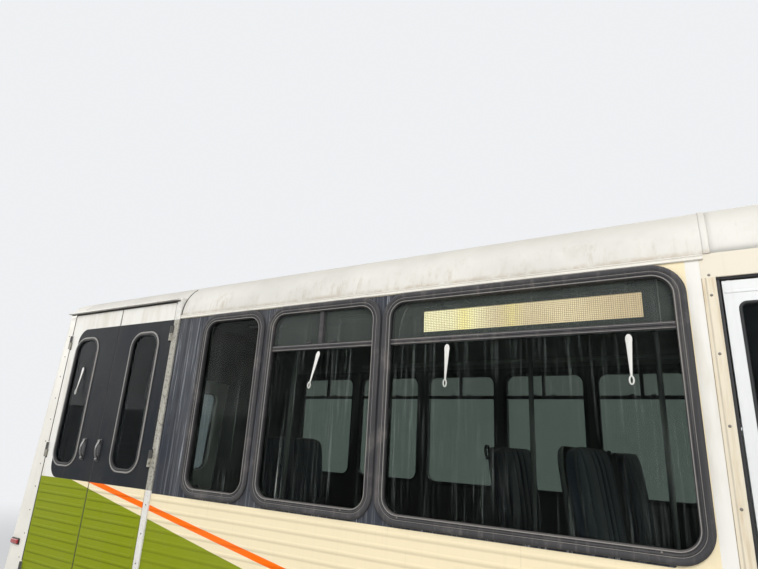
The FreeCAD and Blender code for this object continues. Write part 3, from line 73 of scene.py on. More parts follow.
def fullTurn(n):
    return np.linspace(0, 2 * math.pi, n, endpoint=False)


def unit(v):
    return v / np.maximum(np.linalg.norm(v, axis=-1, keepdims=True), 1e-9)


def circle(r, n=12):
    a = fullTurn(n)
    return np.stack([np.cos(a) * r, np.sin(a) * r], -1)


# mesh helpers

def addMesh(name, points, faces, finish, body="bus", smooth=True):
    mesh = bpy.data.meshes.new(name)
    mesh.from_pydata(np.asarray(points, float).reshape(-1, 3).tolist(), [], [[int(i) for i in f] for f in faces])
    mesh.validate()
    if smooth:
        mesh.polygons.foreach_set("use_smooth", [True] * len(mesh.polygons))
    mesh.materials.append(finish)
    piece = bpy.data.objects.new(name, mesh)
    bpy.context.scene.collection.objects.link(piece)
    if body:
        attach(piece, body)
    return piece


def pointsOf(piece):
    flat = np.empty(len(piece.data.vertices) * 3)
    piece.data.vertices.foreach_get("co", flat)
    return flat.reshape(-1, 3)


def gridFaces(rows, columns, loopRows=False, loopColumns=False, start=0):
    # quads between neighbouring points of a grid of rows by columns
    r, c = np.meshgrid(np.arange(rows if loopRows else rows - 1), np.arange(columns if loopColumns else columns - 1),
        indexing="ij")
    r2, c2 = (r + 1) % rows, (c + 1) % columns
    return np.stack([r * columns + c, r * columns + c2, r2 * columns + c2, r2 * columns + c], -1).reshape(-1, 4) + start


def tubeFaces(rows, columns):
    # quads round a tube of rows rings, and its two ends
    return [*gridFaces(rows, columns, False, True), range(columns)[::-1], range((rows - 1) * columns, rows * columns)]


def copies(faces, count, step):
    # the same faces for each of count forms of step points
    return [[k + i * step for k in f] for i in range(count) for f in faces]


def sharpen(piece, degrees=35):
    # smooth shading with the edges over an angle kept sharp
    piece.data.set_sharp_from_angle(angle=math.radians(degrees))
    return piece


def faceOut(piece):
    # turns the faces of a closed piece outwards
    shape = bmesh.new()
    shape.from_mesh(piece.data)
    bmesh.ops.remove_doubles(shape, verts=shape.verts, dist=1e-6)
    bmesh.ops.recalc_face_normals(shape, faces=shape.faces)
    shape.to_mesh(piece.data)
    shape.free()
    return piece


def cubeSides(t, reach):
    # the six gridded faces of a cube, at reach from its middle
    a, b = (g.ravel() for g in np.meshgrid(t, t, indexing="ij"))
    points, faces = [], []
    for axis in range(3):
        for sign in (-1, 1):
            p = np.zeros((len(a), 3))
            p[:, axis], p[:, (axis + 1) % 3], p[:, (axis + 2) % 3] = sign * reach, a, b
            points.append(p)
            faces.append(gridFaces(len(t), len(t), start=len(faces) * len(a)))
    return np.concatenate(points), np.concatenate(faces)


def boxPoints(x0, x1, y0, y1, z0, z1, round_, steps=3):
    # a cube's faces drawn in to a core box and pushed out by the corner radius
    low, high = np.array([x0, y0, z0], float), np.array([x1, y1, z1], float)
    r = min(round_, (high - low).min() / 2 - 1e-5)
    corner = np.linspace(0, 1, steps + 1)[1:] + 1
    p, faces = cubeSides(np.concatenate([-corner[::-1], [-1, 1], corner]), 2.0)
    sides = faces.reshape(3, 2, -1, 4)
    sides[:, 0] = sides[:, 0, :, ::-1].copy()
    core = np.clip(p, -1, 1)
    return (low + high) / 2 + core * ((high - low) / 2 - r) + unit(p - core) * r, faces


def roundBox(name, x0, x1, y0, y1, z0, z1, round_, finish, body="bus", steps=3):
    return joinBoxes(name, [(x0, x1, y0, y1, z0, z1)], round_, finish, body, steps)


def joinBoxes(name, table, round_, finish, body="bus", steps=2, turn=None):
    # one mesh of several rounded boxes
    points, faces, count = [], [], 0
    for bounds in table:
        p, f = boxPoints(*bounds, round_, steps)
        points.append(p)
        faces.append(f + count)
        count += len(p)
    points = np.concatenate(points)
    if turn:
        points = turn(points)
    return faceOut(addMesh(name, points, np.concatenate(faces), finish, body))


def roundedPath(x0, x1, z0, z1, r, perCorner=10):
    # a rounded rectangle's points, anticlockwise, with the outward direction at each
    centres = [(x1 - r, z1 - r, 0), (x0 + r, z1 - r, 90), (x0 + r, z0 + r, 180), (x1 - r, z0 + r, 270)]
    spots, outs = [], []
    for cx, cz, a0 in centres:
        a = np.radians(a0 + np.linspace(0, 90, perCorner + 1))
        outs.append(np.stack([np.cos(a), np.sin(a)], -1))
        spots.append(np.array([cx, cz]) + outs[-1] * r)
    return np.concatenate(spots), np.concatenate(outs)


def roundedPolygon(corners, radii, perCorner=8):
    # a polygon's points, anticlockwise, each corner an arc that meets its two sides, with the outward directions
    corners = np.asarray(corners, float)
    spots, outs = [], []
    for i, r in enumerate(np.broadcast_to(radii, len(corners))):
        a, b = unit(corners[i] - corners[i - 1]), unit(corners[(i + 1) % len(corners)] - corners[i])
        na, nb = np.array([a[1], -a[0]]), np.array([b[1], -b[0]])
        start, turn = math.atan2(na[1], na[0]), math.atan2(na[0] * nb[1] - na[1] * nb[0], na @ nb)
        angle = start + turn * np.linspace(0, 1, perCorner + 1)
        outs.append(np.stack([np.cos(angle), np.sin(angle)], -1))
        spots.append(corners[i] - (na + nb) / (1 + na @ nb) * r + outs[-1] * r)
    return np.concatenate(spots), np.concatenate(outs)


def sealPath(name, outline, profile, place, finish, body="bus"):
    # the profile (distance in from the outline, height off the surface) carried round it
    # place(u, v, height) sets it down
    spots, outs = outline
    profile = np.asarray(profile, float)
    flat = spots[:, None, :] - outs[:, None, :] * profile[None, :, 0, None]
    points = place(flat[..., 0], flat[..., 1], np.broadcast_to(profile[:, 1], flat.shape[:2]))
    return faceOut(addMesh(name, points, gridFaces(len(spots), len(profile), True, True), finish, body))


def onWall(y, side):
    # u, v and a height become a point on an upright side wall
    return lambda u, v, h: np.stack([u, y + side * h, v], -1)


def onEnd(x, way=1):
    # u, v and a height become a point on an upright end wall
    return lambda u, v, h: np.stack([x + way * h, u, v], -1)


def sealRing(name, window, y, side, profile, finish, body="bus"):
    return sealPath(name, roundedPath(*window), profile, onWall(y, side), finish, body)


def slab(name, front, back, finish, body="bus"):
    # a closed piece between two grids of points of the same shape
    r, c = front.shape[:2]
    index = np.arange(r * c).reshape(r, c)
    rim = np.concatenate([index[0, :-1], index[:-1, -1], index[-1, :0:-1], index[:0:-1, 0]])
    after = np.roll(rim, -1)
    edge = np.stack([rim, after, after + r * c, rim + r * c], -1)
    faces = np.concatenate([gridFaces(r, c), gridFaces(r, c, start=r * c)[:, ::-1], edge])
    points = np.concatenate([front.reshape(-1, 3), back.reshape(-1, 3)])
    return faceOut(addMesh(name, points, faces, finish, body))


def sweep(name, path, profile, finish, body="bus", up=(0, 0, 1), closed=False):
    # the closed profile (sideways, upwards) carried along a path, square to it at each point
    path, profile = np.asarray(path, float), np.asarray(profile, float)
    ahead = np.roll(path, -1, 0) - np.roll(path, 1, 0)
    if not closed:
        ahead[0], ahead[-1] = path[1] - path[0], path[-1] - path[-2]
    ahead = unit(ahead)
    across = unit(np.cross(ahead, np.asarray(up, float)))
    raised = np.cross(across, ahead)
    points = path[:, None] + across[:, None] * profile[None, :, 0, None] + raised[:, None] * profile[None, :, 1, None]
    n, m = points.shape[:2]
    return faceOut(addMesh(name, points, gridFaces(n, m, True, True) if closed else tubeFaces(n, m), finish, body))


def domes(name, spots, out, r, h, finish, body="bus", rings=3, around=10):
    # screw heads: on each spot a low dome, its radius falling as a cosine while it rises as a sine
    spots, out = np.asarray(spots, float), np.broadcast_to(np.asarray(out, float), np.asarray(spots).shape)
    side = unit(np.cross(out, [0.31, 0.47, 0.83]))
    third = np.cross(out, side)
    a = fullTurn(around)[None, :, None]
    t = np.linspace(0, math.pi / 2 * 0.96, rings + 1)[:, None, None]
    ring = np.cos(t) * r * (np.cos(a) * side[:, None, None] + np.sin(a) * third[:, None, None])
    points = spots[:, None, None] + ring + np.sin(t) * h * out[:, None, None]
    per = (rings + 1) * around
    one = [*gridFaces(rings + 1, around, False, True), range(rings * around, per)]
    return addMesh(name, points, copies(one, len(spots), per), finish, body, smooth=False)


def lathe(name, profile, centres, finish, body="bus", around=48, axis=1, turn=None):
    # the profile (place along the axis, radius) turned about an axis through each centre
    profile, centres = np.asarray(profile, float), np.atleast_2d(np.asarray(centres, float))
    a = fullTurn(around)[:, None]
    one = np.zeros((around, len(profile), 3))
    u, v = [(1, 2), (0, 2), (0, 1)][axis]
    one[..., axis], one[..., u], one[..., v] = profile[:, 0], np.cos(a) * profile[:, 1], np.sin(a) * profile[:, 1]
    points = one[None] + centres[:, None, None, :]
    if turn:
        points = turn(points)
    faces = copies(gridFaces(around, len(profile), True, True), len(centres), around * len(profile))
    return sharpen(faceOut(addMesh(name, points, faces, finish, body)), 40)


def skinOf(name, node, finish, body="bus", degrees=32):
    # a merged and smoothly shaded copy of a CAD node, which stands for it
    mesh = nodes[node].data.copy()
    shape = bmesh.new()
    shape.from_mesh(mesh)
    bmesh.ops.remove_doubles(shape, verts=shape.verts, dist=2e-5)
    bmesh.ops.dissolve_limit(shape, angle_limit=math.radians(0.6), verts=shape.verts, edges=shape.edges)
    shape.to_mesh(mesh)
    shape.free()
    mesh.polygons.foreach_set("use_smooth", [True] * len(mesh.polygons))
    mesh.materials.clear()
    mesh.materials.append(finish)
    piece = bpy.data.objects.new(name, mesh)
    bpy.context.scene.collection.objects.link(piece)
    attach(piece, body)
    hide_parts(node)
    return sharpen(piece, degrees)


def strips(name, runs, profile, finish, body="bus"):
    # each run (x0, x1, y, z, side) carries the closed profile (out from the wall, upwards) along the bus
    runs, profile = np.asarray(runs, float), np.asarray(profile, float)
    n, m = len(runs), len(profile)
    points = np.zeros((n, 2, m, 3))
    points[..., 0] = runs[:, 0:2, None]
    points[..., 1] = (runs[:, 2, None] + runs[:, 4, None] * profile[None, :, 0])[:, None]
    points[..., 2] = (runs[:, 3, None] + profile[None, :, 1])[:, None]
    return sharpen(faceOut(addMesh(name, points, copies(tubeFaces(2, m), n, 2 * m), finish, body)), 50)


def roofLine(x, fromDegrees=0.0, toDegrees=80.0, over=True, steps=15):
    # the roof's section at x: up the right cove by its angle, then over the crown's circle and down the left cove
    a = np.radians(np.linspace(fromDegrees, toDegrees, steps))
    line = np.stack([-(halfWidth - coveR + coveR * np.cos(a)), dripZ + coveR * np.sin(a)], -1)
    if over:
        y = np.linspace(-crownY, crownY, 26)[1:-1]
        crown = np.stack([y, crownZ - crownR + np.sqrt(crownR ** 2 - y ** 2)], -1)
        line = np.concatenate([line, crown, line[::-1] * (-1, 1)])
    return np.column_stack([np.full(len(line), x), line])


def onRear(y, z, out=0.0):
    # a point on the leaning rear face, or off it
    y, z, out = np.broadcast_arrays(*(np.asarray(v, float) for v in (y, z, out)))
    return np.stack([rearSkin + (z - rakeHeight) * math.sin(rake) - out * math.cos(rake), y,
            rakeHeight + (z - rakeHeight) * math.cos(rake) + out * math.sin(rake)], -1)


def leanRear(points):
    # points set down as if the rear face were upright, leaned with it
    return onRear(points[..., 1], points[..., 2], rearSkin - points[..., 0])


cabCorner = {"from": 2.6856, "to": 2.8485, "radius": 0.3, "noseHalf": 0.9599, "noseSlope": 0.6466}
flare = {"from": 1.911, "to": 2.204, "slope": 0.7201, "normal": (0.584, 0.811)}


def cabSide(x, cfg=cabCorner):
    # half the cab's width at x: straight, then a corner arc, then a straight run in to the nose
    x, start, end, r = np.asarray(x, float), cfg["from"], cfg["to"], cfg["radius"]
    arc = cabHalf - r + np.sqrt(np.maximum(r ** 2 - (np.maximum(x, start) - start) ** 2, 0))
    return np.where(x < start, cabHalf, np.where(x < end, arc, cfg["noseHalf"] - cfg["noseSlope"] * (x - end)))


def wideSide(x, cfg=flare):
    # the right side, which widens to the saloon's doorway by a slanted panel
    out = np.clip(cfg["to"] - x, 0, cfg["to"] - cfg["from"]) * cfg["slope"]
    return np.where(x < cfg["to"], cabHalf + out, cabSide(x))


# materials: a node's output is a Level, which adds, subtracts and multiplies as a number does

current = {}


class Level:
    def __init__(self, socket):
        self.socket = socket

    def __add__(self, other):
        return calc("ADD", self, other)

    def __sub__(self, other):
        return calc("SUBTRACT", self, other)

    def __rsub__(self, other):
        return calc("SUBTRACT", other, self)

    def __mul__(self, other):
        return calc("MULTIPLY", self, other)

    __radd__, __rmul__ = __add__, __mul__


def newNode(kind, **settings):
    node = current["tree"].nodes.new("ShaderNode" + kind)
    for key, value in settings.items():
        setattr(node, key, value)
    return node


def startTree(owner):
    owner.use_nodes = True
    current["tree"] = owner.node_tree
    owner.node_tree.nodes.clear()


def newFinish(name):
    finish = bpy.data.materials.new(name)
    startTree(finish)
    shader = newNode("BsdfPrincipled")
    plug(newNode("OutputMaterial").inputs[0], Level(shader.outputs[0]))
    return finish, shader


def plug(socket, value):
    if isinstance(value, Level):
        current["tree"].links.new(value.socket, socket)
    elif value is not None:
        socket.default_value = (*value, 1) if socket.type == "RGBA" else value


def fill(node, values):
    for key, value in values.items():
        plug(node.inputs[key], value)
    return node


def calc(kind, a, b=None, clamp=False):
    return Level(fill(newNode("Math", operation=kind, use_clamp=clamp), {0: a, 1: b}).outputs[0])


def highest(*values):
    out = values[0]
    for value in values[1:]:
        out = calc("MAXIMUM", out, value)
    return out


def mix(share, a, b, blend="MIX"):
    return Level(fill(newNode("Mix", data_type="RGBA", blend_type=blend), {0: share, 6: a, 7: b}).outputs[2])


def ramp(value, low, high):
    # a smooth step, 0 at low and 1 at high
    return Level(fill(newNode("MapRange", interpolation_type="SMOOTHSTEP"), {0: value, 1: low, 2: high}).outputs[0])


def objectPlace(upright=1.0):
    place = Level(newNode("TexCoord").outputs["Object"])
    if upright == 1.0:
        return place
    return Level(fill(newNode("Mapping"), {"Scale": (1, 1, upright), "Vector": place}).outputs[0])


def noise(scale, detail=3.0, rough=0.55, upright=1.0):
    # from 0 to 1, drawn out into upright streaks where upright is under 1
    values = {"Vector": objectPlace(upright), "Scale": scale, "Detail": detail, "Roughness": rough}
    return Level(fill(newNode("TexNoise"), values).outputs["Fac"])


def split(vector=None):
    return [Level(out) for out in fill(newNode("SeparateXYZ"), {0: vector or objectPlace()}).outputs]


def facing():
    # which way a face looks, along x, y and z, on the piece itself
    return split(Level(newNode("TexCoord").outputs["Normal"]))


def near(value, middle, half, soft):
    # 1 within half of the middle, 0 past it
    return ramp(calc("ABSOLUTE", value - middle), half + soft, half - soft)


finishes = {}
plain = {
    "rough": 0.45, "metal": 0.0, "coat": 0.0, "sheen": 0.0, "specular": 0.4, "dirt": (0.3, 0.26, 0.2), "dirtShare": 0.2,
    "streak": 0.15, "grain": 0.15, "grainScale": 60.0, "bump": 0.15, "dust": 0.2, "roadDust": 0.0, "softEdge": 0.0,
    "wear": 0.0, "bare": (0.3, 0.27, 0.24)
}


def weathered(name, colour, colourMap=None, extraHeight=None, **changes):
    # colour drift, rain streaks, blotches of dirt, dust on what looks up, road dust low down, worn edges, a fine bump
    p = {**plain, **changes}
    finish, shader = newFinish(name)
    base = colourMap() if colourMap else colour
    base = mix(ramp(noise(2.3, 4, 0.6), 0.3, 0.7) * p["grain"], base, tuple(c * 0.72 for c in colour))
    streaks = ramp(noise(34.0, 3, 0.7, 0.035), 0.5, 0.78)
    blotch = ramp(noise(7.0, 5, 0.68), 0.5, 0.8)
    share = calc("ADD", streaks * p["streak"], blotch * p["dirtShare"], clamp=True)
    if p["dust"]:
        share = highest(share, ramp(facing()[2], 0.35, 0.95) * p["dust"])
    if p["roadDust"]:
        low = ramp(split()[2], 1.0, 0.4) * (noise(12.0, 5, 0.7) * 0.9 + 0.2)
        share = highest(share, low * p["roadDust"])
    base = mix(share, base, p["dirt"])
    fine = noise(p["grainScale"], 3, 0.6)
    height = fine + extraHeight() if extraHeight else fine
    bump = fill(newNode("Bump"), {"Strength": p["bump"], "Distance": 0.0006, "Height": height})
    if p["softEdge"]:
        edge = Level(fill(newNode("Bevel", samples=4), {"Radius": p["softEdge"]}).outputs[0])
        plug(bump.inputs["Normal"], edge)
        if p["wear"]:
            flat = Level(newNode("NewGeometry").outputs["Normal"])
            same = Level(fill(newNode("VectorMath", operation="DOT_PRODUCT"), {0: edge, 1: flat}).outputs["Value"])
            worn = ramp(same, 0.985, 0.9) * ramp(noise(40.0, 4, 0.7), 0.42, 0.62)
            base = mix(worn * p["wear"], base, p["bare"])
    fill(shader, {"Base Color": base, "Roughness": share * 0.3 + (fine * 0.12 + (p["rough"] - 0.06)),
            "Metallic": p["metal"], "Coat Weight": p["coat"], "Sheen Weight": p["sheen"],
            "Specular IOR Level": p["specular"], "Normal": Level(bump.outputs[0])})
    finishes[name] = finish
    return finish


def glassy(name, tint, dirtShare, streak, ior, haze=0.0, rough=0.02, dirt=(0.5, 0.49, 0.46)):
    # tinted glass under a film of dust that rain has drawn into streaks, with haze on the panes over the slide bars
    finish, shader = newFinish(name)
    x, y, z = split()
    streaks = ramp(noise(64.0, 4, 0.8, 0.026), 0.51, 0.7)
    runs = ramp(noise(17.0, 3, 0.6, 0.05), 0.52, 0.75)
    film = ramp(noise(1.9, 4, 0.6), 0.35, 0.75)
    share = calc("ADD", streaks * streak * (runs * 0.8 + film * 0.5), film * dirtShare, clamp=True)
    if haze:
        vent = ramp(z, 2.19, 2.23) * highest(ramp(x, -1.07, -1.05), ramp(y, 0.0, 0.1))
        share = highest(share, vent * (streaks * haze + haze))
    fill(shader, {"Base Color": mix(share, tint, dirt), "Transmission Weight": 1.0 - share,
            "Roughness": share * 0.5 + rough, "IOR": ior})
    finishes[name] = finish
    return finish


# the painted side: cream, a charcoal window band, an olive field and an orange stripe

# ribShade darkens the underside of each rib: painted shade
sidePaint = {
    "cream": (0.84, 0.72, 0.485), "band": (0.05, 0.055, 0.066), "bandPale": (0.27, 0.28, 0.3),
    "bandDark": (0.024, 0.028, 0.038), "doorBand": (0.0125, 0.0155, 0.02), "olive": (0.222, 0.268, 0.005),
    "orange": (0.98, 0.15, 0.0), "white": (0.78, 0.755, 0.7), "oldWhite": (0.66, 0.62, 0.54),
    "ribShade": (0.1, 0.085, 0.03), "drip": (0.36, 0.27, 0.15), "damp": (0.33, 0.23, 0.12),
    "inside": (0.12, 0.12, 0.116), "metal": (0.085, 0.083, 0.08), "wallBand": (-1.964, 0.775, 1.44, 2.428, 0.01),
    "leafBand": (-2.804, -1.6, 1.455, 2.425, 0.09), "slope": 0.186, "oliveAt": (-2.539, 1.455),
    "stripeAt": (-2.254, 1.45), "stripeSlope": 0.1695, "stripeHalf": 0.0145, "rib": 0.05, "ribTop": 1.415,
    "postFrom": 0.893
}


def roundedMask(x, z, x0, x1, z0, z1, r, soft=0.001):
    # 1 inside a rounded rectangle, by the distance to its outline
    qx = calc("ABSOLUTE", x - (x0 + x1) / 2) - ((x1 - x0) / 2 - r)
    qz = calc("ABSOLUTE", z - (z0 + z1) / 2) - ((z1 - z0) / 2 - r)
    ax, az = highest(qx, 0.0), highest(qz, 0.0)
    far = calc("SQRT", ax * ax + az * az) + calc("MINIMUM", highest(qx, qz), 0.0)
    return ramp(r - far, -soft, soft)


def line(x, at, slope):
    # the height, at x, of a line that falls by slope forward of its point
    return at[1] - (x - at[0]) * slope


def sideColours(band, door=False, p=sidePaint):
    x, y, z = split()
    field = calc("MINIMUM", line(x, p["oliveAt"], p["slope"]), p["oliveAt"][1])
    colour = mix(ramp(field - z, -0.0008, 0.0008), p["cream"], p["olive"])
    off = calc("ABSOLUTE", z - line(x, p["stripeAt"], p["stripeSlope"]))
    stripe = ramp(off, p["stripeHalf"] + 0.0008, p["stripeHalf"] - 0.0008) * ramp(z, 1.457, 1.455)
    colour = mix(stripe, colour, p["orange"])
    # painted shade: each rib is a little darker along its underside, where its own relief would be shaded
    rib = calc("FRACT", calc("DIVIDE", z, p["rib"]))
    shade = near(rib, 0.14, 0.12, 0.14) * ramp(z, p["ribTop"] + 0.006, p["ribTop"])
    colour = mix(shade * 0.16, colour, p["ribShade"], "MULTIPLY")
    # old drips run down from the sills
    drips = ramp(noise(60.0, 3, 0.7, 0.03), 0.6, 0.76) * ramp(z, 0.95, 1.44)
    colour = mix(drips * 0.16, colour, p["drip"])
    if not door:
        # brown dirt under the drip edge
        colour = mix(near(z, 2.441, 0.006, 0.006) * noise(9.0, 4, 0.7, 0.2) * 0.9, colour, p["damp"])
    # white beside the front post, and behind the band on the doors
    white = ramp(z, 1.455, 1.456) if door else ramp(x, p["postFrom"], p["postFrom"] + 0.002)
    colour = mix(white, colour, mix(ramp(noise(11.0, 4, 0.6, 0.2), 0.4, 0.75), p["white"], p["oldWhite"]))
    if door:
        bandColour = mix(ramp(noise(3.0, 3, 0.5, 0.25), 0.35, 0.8) * 0.12, p["doorBand"], p["bandDark"])
    else:
        wide = ramp(noise(17.0, 4, 0.6, 0.05), 0.4, 0.64)
        fine = ramp(noise(90.0, 3, 0.8, 0.018), 0.5, 0.66)
        thin = ramp(noise(30.0, 2, 0.5, 0.03), 0.52, 0.6)
        bandColour = mix(fine * (thin * 0.65 + 0.3), mix(wide, p["bandDark"], p["band"]), p["bandPale"])
    colour = mix(roundedMask(x, z, *p[band]), colour, bandColour)
    return mix(ramp(y, liftFace - 0.0012, liftFace - 0.0016), colour, p["metal"]) if door else colour


def insideToo(colourOf, inner, ahead=False):
    # the colour outside, and a plain panel on the faces that look in at the saloon, or ahead and down into it
    def both():
        y, normal = split()[1], facing()
        looksIn = ramp(normal[1] * calc("SIGN", y), 0.1, -0.2) * ramp(calc("ABSOLUTE", y), 0.2, 0.3)
        if ahead:
            looksIn = highest(looksIn, ramp(normal[0], 0.4, 0.7), ramp(normal[2], -0.2, -0.5))
        return mix(looksIn, colourOf(), inner)
    return both


# the last colour is a dark line under the brow: painted shadow
trimColour = {
    "dull": (0.34, 0.32, 0.26), "speck": (0.05, 0.047, 0.045), "pale": (0.5, 0.49, 0.44),
    "whiteSpeck": (0.6, 0.565, 0.49), "capEdge": (0.022, 0.022, 0.023), "browShadow": (0.055, 0.048, 0.042)
}


def trimColours(p=trimColour):
    # black against the cap, white above and below the band, a dull yellow-grey strip within it, and a dark line under
    # the brow that is painted shadow
    x, y, z = split()
    specks = ramp(noise(90.0, 4, 0.75), 0.5, 0.66)
    dull = mix(ramp(noise(24.0, 3, 0.6, 0.12), 0.5, 0.75), mix(specks, p["dull"], p["speck"]), p["pale"])
    white = mix(specks, sidePaint["white"], p["whiteSpeck"])
    colour = mix(ramp(z, 1.452, 1.456) * ramp(z, 2.427, 2.423), white, dull)
    colour = mix(ramp(x, -2.884, -2.888) * ramp(z, 2.536, 2.534), colour, p["capEdge"])
    return mix(near(z, 2.5415, 0.0035, 0.0012) * ramp(x, -1.795, -1.8), colour, p["browShadow"])


postColour = {
    "cream": (0.74, 0.655, 0.5), "stain": (0.56, 0.44, 0.27), "seam": (0.16, 0.095, 0.035),
    "white": (0.74, 0.74, 0.725), "dirt": (0.62, 0.6, 0.56), "top": (0.72, 0.65, 0.52)
}


def postColours(p=postColour):
    # a cream post with brown seams before the entry doorway, white elsewhere
    x, y, z = split()
    cream = mix(ramp(noise(30.0, 4, 0.7, 0.08), 0.45, 0.75), p["cream"], p["stain"])
    seam = highest(near(x, 0.9395, 0.0012, 0.0008), near(x, 0.9515, 0.0022, 0.0022) * 0.55)
    cream = mix(seam * (noise(25.0, 3, 0.6) * 0.8 + 0.35), cream, p["seam"])
    white = mix(ramp(noise(12.0, 4, 0.6), 0.5, 0.8), p["white"], p["dirt"])
    return mix(ramp(z, 2.361, 2.364), mix(ramp(x, 0.9812, 0.98), white, cream), p["top"])


# under is the grey given to faces that look down: painted shade
roofColour = {
    "pale": (0.69, 0.665, 0.605), "stain": (0.4, 0.29, 0.18), "under": (0.26, 0.255, 0.245),
    "inside": (0.24, 0.235, 0.225)
}


def shadeUndersides(colour, start, end):
    # painted shade: grey on the faces that look down
    return mix(ramp(facing()[2], start, end), colour, roofColour["under"])


def roofColours(p=roofColour):
    # pale outside, with brown stains that run down to the drip edge, and painted shade on the faces that look down
    z = split()[2]
    runs = ramp(noise(38.0, 4, 0.75, 0.06), 0.46, 0.7) * ramp(noise(4.0, 4, 0.6), 0.4, 0.62)
    edge = ramp(z, 2.475, 2.452) * ramp(noise(14.0, 4, 0.7), 0.3, 0.6)
    stain = highest(edge, ramp(z, 2.62, 2.47) * runs)
    return shadeUndersides(mix(stain * 0.62, p["pale"], p["stain"]), -0.05, -0.25)


sideWall = weathered("sideWall", sidePaint["cream"], insideToo(lambda: sideColours("wallBand"), sidePaint["inside"]),
    rough=0.5, specular=0.08, streak=0.04, dirtShare=0.05, grain=0.03, roadDust=0.45,
    extraHeight=lambda: noise(5.0, 3) * 0.8)
liftPaint = weathered("liftPaint", sidePaint["cream"],
    insideToo(lambda: sideColours("leafBand", True), (0.24, 0.24, 0.23)), rough=0.45, specular=0.05, streak=0.03,
    dirtShare=0.04, grain=0.02, roadDust=0.4, softEdge=0.004)
bodyWhite = (0.77, 0.735, 0.655)
bodyWear = {
    "rough": 0.42, "coat": 0.08, "streak": 0.16, "dirtShare": 0.14, "grain": 0.3, "roadDust": 0.5,
    "dirt": (0.4, 0.34, 0.25), "softEdge": 0.004
}
rearPaint = weathered("rearPaint", bodyWhite, insideToo(lambda: bodyWhite, sidePaint["inside"], True), **bodyWear)
bodyPaint = weathered("bodyPaint", bodyWhite, **bodyWear)
roofWear = {"rough": 0.58, "streak": 0.2, "dirt": (0.43, 0.385, 0.31), "dust": 0.35, "specular": 0.3}
roofPaint = weathered("roofPaint", roofColour["pale"], insideToo(roofColours, roofColour["inside"]), grain=0.5,
    dirtShare=0.26, softEdge=0.006, **roofWear)
# the cap's faces that look steeply down are painted grey: painted shade
capPaint = weathered("capPaint", roofColour["pale"],
    insideToo(lambda: shadeUndersides(roofColour["pale"], -0.72, -0.85), roofColour["inside"]), grain=0.3, dirtShare=0.16,
    softEdge=0.045, **roofWear)
cabPaint = weathered("cabPaint", (0.77, 0.76, 0.725), rough=0.28, coat=0.35, bump=0.04, streak=0.08, dirtShare=0.07,
    roadDust=0.4, softEdge=0.005)
whiteTrim = weathered("whiteTrim", (0.74, 0.74, 0.725), rough=0.35, coat=0.1, streak=0.12, dirtShare=0.1, roadDust=0.4,
    softEdge=0.003)
postTrim = weathered("postTrim", (0.74, 0.72, 0.66), postColours, rough=0.42, streak=0.1, dirtShare=0.12,
    softEdge=0.003)
dirtyTrim = weathered("dirtyTrim", (0.45, 0.43, 0.38), trimColours, rough=0.5, streak=0.12, dirtShare=0.1, grain=0.3,
    softEdge=0.003)
rubber = weathered("rubber", (0.048, 0.046, 0.048), rough=0.55, dirt=(0.21, 0.19, 0.175), dirtShare=0.45, streak=0.4,
    grain=0.5, dust=0.5, specular=0.2)
blackRubber = weathered("blackRubber", (0.016, 0.016, 0.017), rough=0.6, dirt=(0.12, 0.11, 0.1), dirtShare=0.25,
    streak=0.1, dust=0.3)
beadGrey = weathered("beadGrey", (0.235, 0.222, 0.205), dirt=(0.4, 0.36, 0.29), dirtShare=0.35, streak=0.2, dust=0.4)
blackPlastic = weathered("blackPlastic", (0.022, 0.022, 0.024), dirtShare=0.15, streak=0.1, softEdge=0.002)
glass = glassy("tintedGlass", (0.27, 0.31, 0.285), 0.008, 0.55, 1.1, haze=0.12)
doorGlass = glassy("doorGlass", (0.3, 0.34, 0.36), 0.012, 0.1, 1.1)
clearGlass = glassy("clearGlass", (0.8, 0.85, 0.84), 0.03, 0.12, 1.35)
lensClear = glassy("lensClear", (0.95, 0.96, 0.96), 0.02, 0.05, 1.3)
redLens, amberLens, whiteLens = (weathered(name, colour, rough=0.16, coat=0.8, dirtShare=0.05, streak=0.05, bump=0.3,
        grainScale=220) for name, colour in (("redLens", (0.34, 0.006, 0.005)), ("amberLens", (0.8, 0.2, 0.008)),
        ("whiteLens", (0.7, 0.7, 0.68))))
chrome = weathered("chrome", (0.7, 0.69, 0.67), rough=0.16, metal=1.0, dirtShare=0.15, streak=0.1,
    dirt=(0.25, 0.23, 0.2))
mirrorGlass = weathered("mirrorGlass", (0.8, 0.82, 0.83), rough=0.06, metal=1.0, dirtShare=0.06, streak=0.12, bump=0.0,
    dirt=(0.4, 0.38, 0.33))
darkSteel = weathered("darkSteel", (0.17, 0.165, 0.16), rough=0.28, metal=1.0, dirtShare=0.3, streak=0.1,
    dirt=(0.1, 0.09, 0.08))
steel = weathered("steel", (0.5, 0.49, 0.47), rough=0.3, metal=1.0, streak=0.1, softEdge=0.002)
screwSteel = weathered("screwSteel", (0.2, 0.185, 0.165), rough=0.5, metal=0.6, dirtShare=0.5, dirt=(0.1, 0.07, 0.05))
frameBlack = weathered("frameBlack", (0.028, 0.027, 0.026), rough=0.6, dirtShare=0.45, streak=0.1,
    dirt=(0.16, 0.11, 0.07), grain=0.5, roadDust=0.4, softEdge=0.004, wear=0.7, bare=(0.19, 0.085, 0.035))
bumperBlack = weathered("bumperBlack", (0.03, 0.03, 0.032), rough=0.5, dirtShare=0.25, dirt=(0.17, 0.15, 0.12),
    dust=0.35, roadDust=0.35, softEdge=0.006, wear=0.45, bare=(0.22, 0.21, 0.2))
castIron = weathered("castIron", (0.06, 0.055, 0.05), rough=0.7, metal=0.3, dirtShare=0.5, streak=0.1,
    dirt=(0.17, 0.1, 0.055), bump=0.5, softEdge=0.004)
